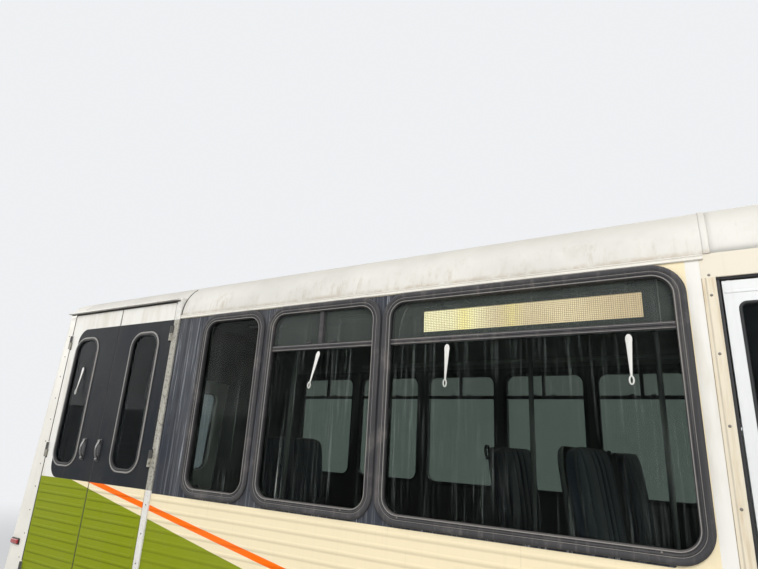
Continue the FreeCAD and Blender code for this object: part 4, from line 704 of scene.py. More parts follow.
rustySteel = weathered("rustySteel", (0.22, 0.17, 0.13), rough=0.65, metal=0.6, dirtShare=0.6, streak=0.2,
    dirt=(0.2, 0.09, 0.04), bump=0.4, softEdge=0.003)
tyreRubber = weathered("tyreRubber", (0.019, 0.019, 0.02), rough=0.72, dirtShare=0.5, streak=0.0,
    dirt=(0.13, 0.12, 0.1), grain=0.6, dust=0.1)
rimPaint = weathered("rimPaint", (0.6, 0.59, 0.56), rough=0.4, coat=0.2, dirtShare=0.5, streak=0.2,
    dirt=(0.24, 0.185, 0.13), grain=0.5, softEdge=0.004, wear=0.5, bare=(0.25, 0.12, 0.06))
greyPlastic = weathered("greyPlastic", (0.11, 0.11, 0.115), rough=0.6, dirtShare=0.1, streak=0.0, bump=0.5,
    grainScale=260, softEdge=0.005)
grilleGrey = weathered("grilleGrey", (0.07, 0.07, 0.075), rough=0.5, streak=0.1, softEdge=0.003)
floorCover = weathered("floorCover", (0.055, 0.056, 0.06), rough=0.7, dirtShare=0.4, streak=0.0, dust=0.3, bump=0.5,
    grainScale=300, softEdge=0.003)
seatCloth = weathered("seatCloth", (0.045, 0.06, 0.1), rough=0.85, dirtShare=0.15, streak=0.0, sheen=0.4, bump=0.8,
    grainScale=520, dust=0.05)
seatShell = weathered("seatShell", (0.13, 0.13, 0.135), rough=0.5, dirtShare=0.15, streak=0.05, bump=0.4,
    grainScale=240)
panelGrey = weathered("panelGrey", (0.3, 0.3, 0.29), rough=0.6, dirtShare=0.1, streak=0.05)
plateBlank = weathered("plateBlank", (0.68, 0.68, 0.66), rough=0.4, dirt=(0.35, 0.29, 0.21))
yellowEdge = weathered("yellowEdge", (0.7, 0.42, 0.02), rough=0.5, dirtShare=0.3, streak=0.1)
strapWhite = weathered("strapWhite", (0.72, 0.7, 0.65), rough=0.5, dirtShare=0.25, streak=0.25, grain=0.4)
print("finishes:", len(finishes))

nodeFinish = {
    "rearPaint": "rear_cap", "sideWall": "right_side left_side", "roofPaint": "roof roof_hatch",
    "capPaint": "front_cap", "rubber": "window_frames", "tintedGlass": "window_panes", "dirtyTrim": "lift_door_frame",
    "liftPaint": "lift_door_rear lift_door_front", "postTrim": "entry_frame",
    "whiteTrim": "entry_door_rear entry_door_front",
    "doorGlass": "lift_glass_rear lift_glass_front entry_glass_rear entry_glass_front rear_door_glass",
    "bodyPaint": "rear_door", "cabPaint": "hood front_panels cab_shell driver_door", "grilleGrey": "grille",
    "lensClear": "head_lamps", "clearGlass": "cab_glass driver_glass", "floorCover": "cab_floor floor",
    "greyPlastic": "dashboard", "seatCloth": "seat_cushions driver_seat",
    "frameBlack": "seat_legs chassis_frame fuel_tank",
    "castIron": "rear_axle front_beams knuckle_left knuckle_right drive_shaft engine_block",
    "rustySteel": "leaf_springs exhaust", "bumperBlack": "front_bumper rear_bumper", "redLens": "tail_lamps",
    "tyreRubber": "front_tyre_left front_tyre_right rear_tyres_left rear_tyres_right",
    "rimPaint": "front_rim_left front_rim_right rear_rim_left rear_rim_right",
    "blackPlastic": "mirrors steering_wheel side_sign", "steel": "lift_platform grab_rails",
}
for finishName, dressed in nodeFinish.items():
    for nodeName in dressed.split():
        nodes[nodeName].data.materials.clear()
        nodes[nodeName].data.materials.append(finishes[finishName])
print("nodes with no finish:", sorted(set(nodes) - set(" ".join(nodeFinish.values()).split())))


# window rubbers: a broad ring and two narrow ridges round each side window, with pale beads between them

rubberRing = {
    "z": (1.448, 2.428), "radius": 0.112, "right": [(-1.3015, 0.485, ""), (-0.689, 0.7, "ds"), (0.281, 1.22, "d")],
    "left": [(0.52 - 0.73 * i, 0.7, "ds") for i in range(5)], "bar": 2.207, "band": 0.042,
    "profile": mm(0, 7.2, 0, 9, 3, 12.5, 10, 14, 17, 13, 21.5, 9, 24.5, 9, 27, 12.5, 30, 12.5, 32, 8, 35, 8, 37.5, 10.5,
        41, 9.5, 43.5, 6, 44, -10, 42.5, -10, 42.5, 7.2),
    "beads": [mm(22.4, 8.6, 21.8, 10.4, 23.4, 11, 24, 9.6, 23.8, 8.6),
        mm(37.2, 10, 37.2, 11.6, 39.2, 12.4, 40.8, 11.2, 40.8, 9)]
}


def sideWindows(cfg=rubberRing):
    z0, z1 = cfg["z"]
    bars, edges, weeps = [], [], []
    for side, label in ((-1, "right"), (1, "left")):
        wall = side * halfWidth
        for i, (centre, width, kind) in enumerate(cfg[label]):
            x0, x1 = span(centre, width / 2)
            window = (x0, x1, z0, z1, cfg["radius"])
            sealRing(f"windowRubber_{label}{i}", window, wall, side, cfg["profile"], rubber)
            for j, bead in enumerate(cfg["beads"]):
                sealRing(f"windowBead_{label}{i}{j}", window, wall, side, bead, beadGrey)
            weeps += [(x, wall + side * 0.0105, z0 + 0.0325) for x in (x0 + 0.115, x1 - 0.155)]
            if "d" in kind:
                bar, *ends = ((x0 + cfg["band"], x1 - cfg["band"], wall - side * 0.0045, cfg["bar"] + dz, side)
                    for dz in (0.0, 0.0085, -0.0095))
                bars.append(bar)
                edges += ends
    strips("slideBars", bars, mm(-2, -13.5, 3, -13.5, 4.5, -11, 4.5, -6, 2, -4, 2, -1, 5, 1, 5, 11.5, 3, 13.5,
            -2, 13.5), rubber)
    strips("slideEdges", edges, mm(3.8, -1.3, 5.6, -1, 6, 0, 5.6, 1, 3.8, 1.3), beadGrey)
    for side, label in ((-1, "right"), (1, "left")):
        spots = [w for w in weeps if w[1] * side > 0]
        domes(f"sillScrews_{label}", spots, (0, side, 0), 0.0042, 0.0018, screwSteel)
    # an upright bar at the middle of each sliding vent, and two pulls
    posts, pulls = [], []
    for side, label in ((-1, "right"), (1, "left")):
        for centre, width, kind in cfg[label]:
            if "s" in kind:
                posts.append((*span(centre, 0.012), *mirrored(side, halfWidth - 0.0045, halfWidth - 0.0005),
                        cfg["bar"] + 0.0135, z1 - cfg["band"]))
                pulls += [(*span(x, 0.018), *mirrored(side, halfWidth - 0.013, halfWidth - 0.004), cfg["bar"] + 0.0165,
                        cfg["bar"] + 0.0265) for x in span(centre, 0.075)]
    joinBoxes("ventPosts", posts, 0.0018, rubber)
    joinBoxes("ventPulls", pulls, 0.003, blackPlastic)


sideWindows()

doorWindow = {
    "rear": (-2.676, 0.244), "front": (-2.054, 0.25), "z": (1.54, 2.352), "radius": 0.084,
    "outer": mm(-14, 0.3, -14, 3, -11, 5.5, -6, 5.8, -3, 3, -3, 0.3),
    "inner": mm(-4, 0.3, -4, 4, 0, 6.2, 6, 6, 10, 3, 12, -7, 1, -7, 1, 0.3)
}
for label in ("rear", "front"):
    centre, width = doorWindow[label]
    window = (*span(centre, width / 2), *doorWindow["z"], doorWindow["radius"])
    sealRing(f"liftBead_{label}", window, liftFace, -1, doorWindow["outer"], beadGrey, "lift_leaf_" + label)
    sealRing(f"liftRubber_{label}", window, liftFace, -1, doorWindow["inner"], blackRubber, "lift_leaf_" + label)
print("window rubbers done")


# pull straps that hang at the windows

strap = {
    "places": [(-0.004, 2.18, 0.0), (0.696, 2.18, 0.0), (-0.684, 2.18, -0.03)], "door": (-2.674, 2.16, 0.0),
    "length": 0.19, "lean": 0.022, "thick": 0.003
}


def hangStrap(name, x, z, drift, face, body, cfg=strap):
    # half width as a function of the way down: a round head, a taper, then an eye; thick as a thin ellipse
    t = np.linspace(0, 1, 26)
    way = t * 0.15
    head = np.where(way < 0.039, np.sqrt(np.maximum(1 - ((way - 0.0195) / 0.0205) ** 2, 0)) * 0.012, 0)
    taper = np.where(way >= 0.03, 0.0105 - (way - 0.03) / 0.12 * 0.007, 0)
    wide = np.maximum(np.maximum(head, taper), 0.001)
    a = fullTurn(14)
    points = np.zeros((len(t), len(a), 3))
    out = face - 0.004 - cfg["lean"] * (way / cfg["length"]) ** 1.3
    points[..., 0] = x + drift * (way / cfg["length"])[:, None] + np.cos(a)[None] * wide[:, None]
    points[..., 1] = out[:, None] + np.sin(a)[None] * cfg["thick"] / 2
    points[..., 2] = z - way[:, None]
    faces = [*gridFaces(len(t), len(a), False, True), range(len(a)), range((len(t) - 1) * len(a), len(t) * len(a))]
    # the eye: a ring with an oval outline
    u, v = np.meshgrid(fullTurn(28), fullTurn(10), indexing="ij")
    ring = np.zeros(u.shape + (3,))
    ring[..., 0] = x + drift * 0.87 + np.cos(u) * (0.0068 + np.cos(v) * 0.0027)
    ring[..., 2] = z - 0.165 + np.sin(u) * (0.014 + np.cos(v) * 0.0027)
    ring[..., 1] = face - 0.004 - cfg["lean"] * 0.84 + np.sin(v) * 0.002
    faces += [*gridFaces(28, 10, True, True, start=len(t) * len(a))]
    points = np.concatenate([points.reshape(-1, 3), ring.reshape(-1, 3)])
    return faceOut(addMesh(name, points, faces, strapWhite, body))


for i, (x, z, drift) in enumerate(strap["places"]):
    hangStrap(f"pullStrap{i}", x, z, drift, -halfWidth - 0.005, "bus")
hangStrap("pullStrapDoor", *strap["door"], liftFace + 0.004, "lift_leaf_rear")
print("straps done")


# roof joint, drip rails, the seal that climbs the cove by the lift door, and a dark strip under the brow that is
# painted shadow

roofTrim = {
    "joint": 0.9645, "jointHalf": 0.0115, "jointHigh": 0.003, "dripZ": 2.4405, "dripFrom": -1.7625,
    "dripLeftFrom": -2.99, "dripTo": 0.9515, "seal": -1.7595, "sealHalf": 0.0035, "sealHigh": 0.0022
}


def overRoof(name, path, half, high, finish):
    # a low strip that follows the section, rounded over its width
    side = [(0.0006, half), (-high * 0.6, half * 0.94), (-high, half * 0.7)]
    profile = [(h, -w) for h, w in side] + side[::-1]
    return sharpen(sweep(name, path, profile, finish, up=(1, 0, 0)), 50)


def roofPieces(cfg=roofTrim):
    overRoof("roofJoint", roofLine(cfg["joint"]), cfg["jointHalf"], cfg["jointHigh"], roofPaint)
    rise = np.array([[cfg["seal"], -halfWidth, z] for z in np.linspace(2.426, 2.446, 3)])
    overRoof("coveSeal", np.concatenate([rise, roofLine(cfg["seal"], 0, 52, False, 12)]), cfg["sealHalf"],
        cfg["sealHigh"], blackRubber)
    drip = mm(-0.8, -10.5, 4.2, -11.5, 7, -9.5, 7, -5, 3.4, -2.5, 3.4, 2.5, 6.2, 5.2, 5, 8.5, -0.8, 9.5)
    strips("dripRails", [(cfg["dripFrom"], cfg["dripTo"], -halfWidth, cfg["dripZ"], -1),
            (cfg["dripLeftFrom"], cfg["dripTo"], halfWidth, cfg["dripZ"], 1)], drip, bodyPaint)
    # a black strip under the brow, put where the brow's shadow falls: painted shadow
    strips("browSeal", [(-2.955, -1.782, liftFace, 2.5425, -1)], mm(-0.5, -3.2, 3, -2.8, 3.4, 2.8, -0.5, 3.4),
        blackRubber)


roofPieces()
print("roof trim done")


# pressed ribs along the lower walls and the lift doors, clear of the wheel arches

ribShape = {
    "pitch": 0.05, "half": 0.011, "high": 0.0012, "arch": 0.475, "low": 0.4635, "right": (-1.7605, 0.9355),
    "under": (-2.895, -1.768), "underTop": 0.64, "left": (-2.896, 0.925),
    "doors": {"rear": (-2.866, -2.372), "front": (-2.326, -1.838)}
}


def ribRuns(x0, x1, low, y, side, cfg=ribShape):
    # one run at each height, or two where the wheel arch is in between
    runs = []
    for z in np.arange(low, sidePaint["ribTop"], cfg["pitch"]):
        gap = cfg["arch"] ** 2 - (z - axleHeight) ** 2
        if gap > 0 and x0 < rearAxle < x1:
            half = math.sqrt(gap)
            runs += [(x0, rearAxle - half, y, z, side), (rearAxle + half, x1, y, z, side)]
        else:
            runs.append((x0, x1, y, z, side))
    return runs


def ribPieces(cfg=ribShape):
    h, top = cfg["half"], cfg["high"]
    side = [(-0.0006, h), (0.0003, h * 0.82), (top * 0.8, h * 0.45)]
    profile = [(out, -z) for out, z in side] + [(top, 0.0)] + side[::-1]
    low = cfg["low"]
    right = ribRuns(*cfg["right"], low, -halfWidth, -1)
    right += [(*cfg["under"], -halfWidth, z, -1) for z in np.arange(low, cfg["underTop"], cfg["pitch"])]
    strips("wallRibs_right", right, profile, sideWall)
    strips("wallRibs_left", ribRuns(*cfg["left"], low, halfWidth, 1), profile, sideWall)
    for label, (x0, x1) in cfg["doors"].items():
        runs = [(x0, x1, liftFace, z, -1) for z in np.arange(low + 6 * cfg["pitch"], sidePaint["ribTop"], cfg["pitch"])]
        strips(f"doorRibs_{label}", runs, profile, liftPaint, "lift_leaf_" + label)


ribPieces()
print("ribs done")


# lift doors: the rubber lip where the leaves meet, and two folding handles

liftDetail = {
    "lip": (-2.352, -2.3446), "lipY": (-1.2262, -1.196), "z": (0.712, 2.521),
    "handles": {"rear": -2.474, "front": -2.314}, "handleZ": 1.64, "plate": (0.019, 0.066)
}


def paddle(label, x, cfg=liftDetail):
    body, z, y = "lift_leaf_" + label, cfg["handleZ"], liftFace
    w, h = cfg["plate"]
    roundBox(f"handlePlate_{label}", *span(x, w), y - 0.0045, y + 0.0005, *span(z, h), 0.004, blackPlastic, body)
    # a strap that leaves the wall at its top, bows out and comes back to its foot
    t = np.linspace(0, 1, 25)
    path = np.stack([np.full(25, x - 0.002), y - 0.006 - 0.017 * np.sin(np.pi * np.clip(t * 1.06, 0, 1)) ** 0.7,
            z + 0.056 - 0.108 * t], -1)
    bar = mm(-8.5, -2.2, -6.8, -3.4, 6.8, -3.4, 8.5, -2.2, 8.5, 1.6, 5.1, 3, -5.1, 3, -8.5, 1.6)
    sweep(f"handleStrap_{label}", path, bar, darkSteel, body, up=(0, -1, 0))
    lathe(f"handleLock_{label}", mm(0, 0, 0, 8.5, -4, 8.5, -6, 6.5, -6, 0), (x + 0.01, y - 0.0042, z - 0.03), darkSteel,
        body, 20, 1)
    joinBoxes(f"handlePivots_{label}",
        [(x - 0.0145, x + 0.0105, y - 0.013, y - 0.003, *span(z + dz, 0.007)) for dz in (0.055, -0.051)], 0.003,
        darkSteel, body)


for label, x in liftDetail["handles"].items():
    paddle(label, x)
roundBox("leafLip", *liftDetail["lip"], *liftDetail["lipY"], *liftDetail["z"], 0.003, blackRubber, "lift_leaf_front")
print("lift doors done")


# entry doors: the black seals round the leaves and between them, and a pull on each

entryDetail = {
    "x": (0.981, 1.851), "z": (0.345, 2.363), "y": (-1.207, -1.178), "seal": 0.0105, "middle": 1.416,
    "leafZ": (0.362, 2.342)
}


def entrySeals(cfg=entryDetail):
    (x0, x1), (z0, z1), (y0, y1), s = cfg["x"], cfg["z"], cfg["y"], cfg["seal"]
    joinBoxes("entrySeals", [(x0 - 0.0005, x0 + s, y0 - 0.003, y1, z0, z1),
            (x1 - s, x1 + 0.0005, y0 - 0.003, y1, z0, z1), (x0, x1, y0 - 0.006, y1, z1 - 0.0095, z1 + 0.0005)], 0.003,
        blackRubber)
    m, (low, high) = cfg["middle"], cfg["leafZ"]
    roundBox("entryLip", m + 0.0006, m + 0.0052, y0 - 0.001, y1 - 0.004, low, high, 0.002, blackRubber,
        "entry_leaf_front")
    # window beads, grooves and a pull on each leaf
    for label, a, b in (("rear", x0 + 0.015, m - 0.0055), ("front", m + 0.0055, x1 - 0.015)):
        for i, (p0, p1) in enumerate(((0.415, 1.18), (1.24, 2.271))):
            sealRing(f"entryBead_{label}{i}", (a + 0.042, b - 0.042, p0, p1, 0.022), -1.207, -1,
                mm(-4, 0, -3, 2.2, 2, 2.6, 6, 0.6, 7, -12, 0.5, -12, 0.5, 0), blackRubber, "entry_leaf_" + label)
        strips(f"leafGrooves_{label}", [(a + 0.006, b - 0.006, -1.207, z, -1) for z in (0.378, 1.21, 2.31)],
            mm(-0.5, -6, 1.4, -4, 1.4, 4, -0.5, 6), whiteTrim, "entry_leaf_" + label)
        x = m + (-0.048 if label == "rear" else 0.048)
        path = np.array([(x, -1.172, 0.95), (x, -1.15, 0.965), (x, -1.142, 1.0), (x, -1.142, 1.4), (x, -1.15, 1.435),
                (x, -1.172, 1.45)])
        sweep(f"leafPull_{label}", path, circle(0.009, 12), steel, "entry_leaf_" + label, up=(1, 0, 0))


entrySeals()
print("entry doors done")


# the moving-letter sign behind the front window, blank but with a glowing face that is painted light, and the arm
# beside it

# the glow and the fall from pale to brown across the face are painted light
sign = {
    "x": (-0.149, 0.746), "z": (2.255, 2.35), "y": -1.1572, "thick": 0.004, "dot": 0.0078, "pale": (1.0, 0.86, 0.55),
    "amber": (1.0, 0.8, 0.26), "tan": (0.76, 0.58, 0.38), "brown": (0.56, 0.39, 0.245), "gap": (0.22, 0.155, 0.095),
    "glow": 4.9
}


def signFinish(cfg=sign):
    finish, shader = newFinish("signFace")
    x, y, z = split()
    grid = calc("MINIMUM", *(near(calc("FRACT", calc("DIVIDE", v, cfg["dot"])), 0.5, 0.36, 0.1) for v in (x, z)))
    # amber tones, painted pale and bright at the rear, with two yellow bands, then darker tan and brown ahead: the run
    # of brightness is painted light
    face = mix(ramp(x, 0.06, 0.2), cfg["pale"], cfg["tan"])
    for middle in (0.045, 0.255):
        face = mix(near(x, middle, 0.02, 0.05), face, cfg["amber"])
    face = mix(ramp(x, 0.45, 0.76), face, cfg["brown"])
    face = mix(ramp(noise(5.0, 3), 0.45, 0.7) * 0.4, face, cfg["brown"])
    colour = mix(grid, cfg["gap"], face)
    # the blank sign glows: painted light
    fill(shader, {"Base Color": colour, "Emission Color": colour, "Emission Strength": cfg["glow"],
            "Roughness": grid * 0.2 + 0.35})
    return finish


def signPieces(cfg=sign):
    (x0, x1), (z0, z1), y = cfg["x"], cfg["z"], cfg["y"]
    roundBox("signFace", x0, x1, y - cfg["thick"], y + 0.0006, z0, z1, 0.001, signFinish())
    sealRing("signRim", (x0 - 0.006, x1 + 0.006, z0 - 0.006, z1 + 0.006, 0.008), y, -1,
        mm(0, 0, 0, 6, 2, 7.5, 5, 7.5, 6, 6, 6, 0), blackPlastic)
    arc = np.radians(np.linspace(0, 70, 12))
    path = np.stack([-0.254 + 0.06 * (1 - np.cos(arc)), np.full(12, -1.196), 2.222 + 0.15 * np.sin(arc)], -1)
    sweep("signArm", path, circle(0.0035, 8), beadGrey, up=(0, 1, 0))
    roundBox("ventEdge", 0.8, 0.8035, -1.2035, -1.199, 2.222, 2.384, 0.001, beadGrey)


signPieces()
print("sign done")


# screws along the cap, the hinge trim and the front post

screwLines = {
    "capScrews": (-2.949, -halfWidth, 0.005,
        (0.78, 0.96, 1.1, 1.24, 1.384, 1.526, 1.67, 1.814, 1.956, 2.104, 2.244, 2.39)),
    "trimScrews": (-1.786, liftFace, 0.0045, np.arange(0.8, 2.5, 0.145)),
    "postScrews": (0.9625, -halfWidth, 0.005, (0.6, 0.85, 1.1, 1.36, 1.627, 1.87, 2.1, 2.3, 2.372)),
}
for name, (x, y, r, heights) in screwLines.items():
    domes(name, [(x, y, z) for z in heights], (0, -1, 0), r, 0.0022, screwSteel)
roundBox("capSeam", -2.9035, -2.8995, -1.2205, -1.217, 0.66, 2.545, 0.001, blackRubber)
print("screws done")


# rear face: seals, handle, lamps, bumper and plate

rearDetail = {
    "door": (-0.4496, 0.4496, 0.8005, 2.2615, 0.006), "frame": (-0.466, 0.466, 0.784, 2.278, 0.018),
    "panes": [(0.96, 1.34), (1.47, 2.15)], "paneHalf": 0.34, "paneR": 0.06, "leafOut": 0.004, "handle": (0.392, 1.405),
    "lampY": 1.0, "lampZ": (0.98, 1.13, 1.28), "lampR": 0.052, "markerZ": 2.48,
    "markerY": (-0.92, -0.16, 0.0, 0.16, 0.92)
}


def rearPieces(cfg=rearDetail):
    leafPlace = lambda u, v, h: onRear(u, v, h + cfg["leafOut"])
    sealPath("rearDoorFrame", roundedPath(*cfg["frame"]), mm(0, -1, 0.6, 2.8, 3, 4, 12.5, 4, 15, 2.5, 15.5, -1), onRear,
        whiteTrim)
    sealPath("rearDoorSeal", roundedPath(*cfg["door"]), mm(-0.4, -12, -0.4, 2.2, 1.4, 3.4, 3, 1.5, 3, -12), onRear,
        blackRubber)
    for i, (z0, z1) in enumerate(cfg["panes"]):
        outline = roundedPath(-cfg["paneHalf"], cfg["paneHalf"], z0, z1, cfg["paneR"])
        sealPath(f"rearPaneRubber{i}", outline,
            mm(-16, -0.2, -16, 3, -12, 5.5, -4, 6, 0, 3.8, 3, 3.8, 6, 5.8, 11, 4, 12, -8.5, 1, -8.5, 1, -0.2),
            leafPlace, blackRubber, "rear_leaf")
        sealPath(f"rearPaneBead{i}", outline, mm(-2.5, 3, -2, 5.2, 1.2, 5.4, 2, 3), leafPlace, beadGrey, "rear_leaf")
    y, z = cfg["handle"]
    x = rearSkin - cfg["leafOut"]
    joinBoxes("rearHandlePlate", [(x - 0.005, x + 0.001, *span(y, 0.026), *span(z, 0.045))], 0.0024, chrome,
        "rear_leaf", turn=leanRear)
    joinBoxes("rearHandle", [(x - 0.026, x - 0.002, *span(y, 0.011), *span(z, 0.011)),
            (x - 0.028, x - 0.019, y - 0.12, y + 0.013, *span(z, 0.0095))], 0.004, chrome, "rear_leaf", 3, leanRear)
    lathe("rearLock", mm(1, 0, 1, 9, -4, 9, -6, 7, -6, 0), [(x - 0.004, y, z - 0.031)], chrome, "rear_leaf", 20, 0,
        leanRear)
    # raised stiffening ribs on the leaf below and between its windows
    joinBoxes("rearLeafRibs", [(x - 0.0026, x + 0.001, -0.32, 0.32, *span(zz, 0.007))
            for zz in (0.846, 0.876, 0.906, 2.196, 2.222)], 0.0012, bodyPaint, "rear_leaf", 2, leanRear)
    r = cfg["lampR"]
    ring = np.linspace(r, 0, 30)
    flutes = 0.0005 * np.cos(ring * 2 * math.pi / 0.0042) * (ring < r * 0.94)
    dome = -0.011 - 0.013 * np.sqrt(np.maximum(1 - (ring / r) ** 2, 0)) - flutes
    lens = [(0.0, 0.0), (0.0, r), *zip(dome, ring)]
    for label, z, finish in zip(("white", "amber", "red"), cfg["lampZ"], (whiteLens, amberLens, redLens)):
        piece = lathe(f"tailLens_{label}", lens, [(rearSkin, s * cfg["lampY"], z) for s in (-1, 1)], finish, "bus", 44,
            0, leanRear)
        if label == "red":
            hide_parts("tail_lamps")
    bezel = mm(0.5, 0.5, 0.5, 11, -7, 10, -12.5, 6, -13, 2, -10.5, 0.3) + np.array([0, r])
    spots = [(rearSkin, s * cfg["lampY"], z) for s in (-1, 1) for z in cfg["lampZ"]]
    lathe("tailBezels", bezel, spots, chrome, "bus", 44, 0, leanRear)
    markers = [(y, cfg["markerZ"]) for y in cfg["markerY"]]
    joinBoxes("rearMarkerBases", [(rearSkin - 0.008, rearSkin + 0.0005, *span(y, 0.05), *span(z, 0.014))
            for y, z in markers], 0.004, blackPlastic, turn=leanRear)
    joinBoxes("rearMarkers", [(rearSkin - 0.02, rearSkin - 0.006, *span(y, 0.042), *span(z, 0.0105))
            for y, z in markers], 0.008, redLens, steps=4, turn=leanRear)
    joinBoxes("rearReflectors", [(rearSkin - 0.0055, rearSkin + 0.0005, *span(s * 1.0, 0.036), 0.846, 0.89)
            for s in (-1, 1)], 0.0024, redLens, turn=leanRear)
    # two upright rails beside the door
    joinBoxes("capRails", [(rearSkin - 0.0035, rearSkin + 0.001, *span(s * 0.555, 0.006), 0.7, 2.36) for s in (-1, 1)],
        0.0015, bodyPaint, turn=leanRear)


rearPieces()

bumperDetail = {
    "tread": (-1.15, 1.15), "guards": (0.62, 0.9), "plate": (0.1525, 0.076), "rearPlateZ": 0.463, "frontPlateZ": 0.533,
    "holes": 0.089, "strip": (0.19, 0.8)
}


def plate(label, x, way, z, cfg=bumperDetail):
    # a blank plate with a pressed rim on a black backing, held by two screws
    w, h = cfg["plate"]
    outline = roundedPath(-w, w, *span(z, h), 0.012)
    place = onEnd(x, way)
    roundBox(f"plate_{label}", *sorted((x + way * 0.001, x + way * 0.003)), -w, w, *span(z, h), 0.0009, plateBlank)
    sealPath(f"plateRim_{label}", outline, mm(4, 2.8, 4.8, 4.2, 7.2, 4.4, 8.4, 2.8), place, plateBlank)
    sealPath(f"plateFrame_{label}", outline, mm(-4, 0, -4.5, 3.5, -2, 5, 1.5, 4.5, 2, 0), place, blackPlastic)
    domes(f"plateScrews_{label}", [(x + way * 0.003, s * cfg["holes"], z + 0.057) for s in (-1, 1)], (way, 0, 0),
        0.0062, 0.0026, chrome)


def bumperPieces(cfg=bumperDetail):
    places = np.linspace(-3.236, -3.124, 9)
    joinBoxes("bumperTread", [(*span(x, 0.0035), *cfg["tread"], 0.5895, 0.5935) for x in places], 0.0012, bumperBlack)
    a, b = cfg["guards"]
    joinBoxes("bumperGuards", [(tailX - 0.0085, tailX + 0.004, *mirrored(s, a, b), 0.445, 0.577) for s in (-1, 1)],
        0.006, blackRubber, steps=4)
    joinBoxes("guardGrooves", [(tailX - 0.0098, tailX - 0.002, *mirrored(s, a + 0.02, b - 0.02), *span(z, 0.004))
            for s in (-1, 1) for z in (0.478, 0.511, 0.544)], 0.0015, bumperBlack)
    plate("rear", tailX, -1, cfg["rearPlateZ"])
    plate("front", noseX, 1, cfg["frontPlateZ"])
    a, b = cfg["strip"]
    joinBoxes("frontStrip", [(noseX - 0.002, noseX + 0.0085, *mirrored(s, a, b), 0.517, 0.573) for s in (-1, 1)], 0.005,
        blackRubber, steps=4)
    joinBoxes("frontTread", [(*span(x, 0.0035), -0.8, 0.8, 0.6395, 0.6432) for x in (3.205, 3.216, 3.227)], 0.0012,
        bumperBlack)
    domes("bumperBolts", [(noseX, s * y, 0.475) for s in (-1, 1) for y in (0.4, 0.46)], (1, 0, 0), 0.011, 0.007, steel,
        around=6, rings=2)


bumperPieces()
print("rear and bumpers done")


# arch lips, mud flaps, side lamps and the fuel lid

archShape = {"radius": 0.452, "profile": mm(-2.5, -4, -2.5, 3, 0, 4.8, 14, 4.8, 18.5, 2.2, 19, -1, 0, -4)}


def archLip(name, axle, side, sideOf, low, finish, body="bus", cfg=archShape):
    start = math.asin((low - axleHeight) / cfg["radius"])
    a = np.linspace(start, math.pi - start, 61)[::1 if side < 0 else -1]
    x, z = axle + cfg["radius"] * np.cos(a), axleHeight + cfg["radius"] * np.sin(a)
    return sweep(name, np.stack([x, side * sideOf(x), z], -1), cfg["profile"], finish, body, up=(0, side, 0))


for side, label in ((-1, "right"), (1, "left")):
    archLip(f"rearArch_{label}", rearAxle, side, lambda x: np.full_like(x, halfWidth), 0.424, blackRubber)
archLip("frontArch_left", frontAxle, 1, cabSide, 0.486, blackRubber)
archLip("frontArch_right", frontAxle, -1, wideSide, 0.486, blackRubber)

flapShape = {"x": -1.545, "y": (0.7, 1.162), "z": (0.205, 0.715), "thick": 0.007, "bow": 0.028}


def mudFlap(name, side, cfg=flapShape):
    # a hanging sheet whose foot bows back as the square of the way down, with a ripple across it
    v, u = np.meshgrid(np.linspace(0, 1, 22), np.linspace(*cfg["y"], 14), indexing="ij")
    x = cfg["x"] - cfg["bow"] * v ** 2 + 0.004 * np.sin((u - cfg["y"][0]) * 18) * v
    z = cfg["z"][1] - v * (cfg["z"][1] - cfg["z"][0])
    front = np.stack([x, side * u, z], -1)
    sharpen(slab(name, front, front - (cfg["thick"], 0, 0), blackRubber), 50)
    joinBoxes(name + "_bar", [(cfg["x"] - 0.014, cfg["x"] + 0.004, *mirrored(side, *cfg["y"]), 0.69, 0.726)], 0.003,
        frameBlack)


mudFlap("mudFlap_right", -1)
mudFlap("mudFlap_left", 1)

sideLamps = {"red": [(-3.03, 1.045)], "amber": [(0.862, 0.56), (-0.25, 0.56)]}
for label, finish in (("red", redLens), ("amber", amberLens)):
    spots = [(s, x, z) for s in (-1, 1) for x, z in sideLamps[label]]
    joinBoxes(f"sideLampBases_{label}",
        [(*span(x, 0.046), *mirrored(s, halfWidth - 0.0005, halfWidth + 0.006), *span(z, 0.019)) for s, x, z in spots],
        0.0028, blackPlastic)
    joinBoxes(f"sideLamps_{label}",
        [(*span(x, 0.04), *mirrored(s, halfWidth + 0.004, halfWidth + 0.016), *span(z, 0.0135)) for s, x, z in spots],
        0.0055, finish, steps=4)

fuelDoor = {"x": (0.3, 0.47), "z": (0.985, 1.165)}
(x0, x1), (z0, z1) = fuelDoor["x"], fuelDoor["z"]
sealRing("fuelFrame", (x0 - 0.01, x1 + 0.01, z0 - 0.01, z1 + 0.01, 0.022), halfWidth, 1,
    mm(0, -0.5, 0.8, 4.2, 4, 5.5, 8, 4.5, 9, -0.5), blackPlastic)
roundBox("fuelLid", x0, x1, halfWidth - 0.001, halfWidth + 0.0045, z0, z1, 0.0022, whiteTrim)
lathe("fuelLock", mm(0, 0, 0, 11, 3.5, 11, 5, 9, 5, 0), [(x0 + 0.026, halfWidth + 0.004, (z0 + z1) / 2)], chrome, "bus",
    20, 1)
joinBoxes("fuelHinge", [(x1 - 0.006, x1 + 0.004, halfWidth + 0.001, halfWidth + 0.0085, z0 + 0.02, z1 - 0.02)], 0.003,
    steel)
print("arches, flaps and side lamps done")


# windscreen: its plane runs from the cowl to the header; u across, v up the slope, h off the glass

slopeRun = math.hypot(headerZ - cowlZ, cowlX - headerX)
slopeUp = np.array([headerX - cowlX, headerZ - cowlZ]) / slopeRun


def onScreen(u, v, h):
    u, v, h = np.broadcast_arrays(*(np.asarray(value, float) for value in (u, v, h)))
    return np.stack([cowlX + slopeUp[0] * v + slopeUp[1] * h, u, cowlZ + slopeUp[1] * v - slopeUp[0] * h], -1)


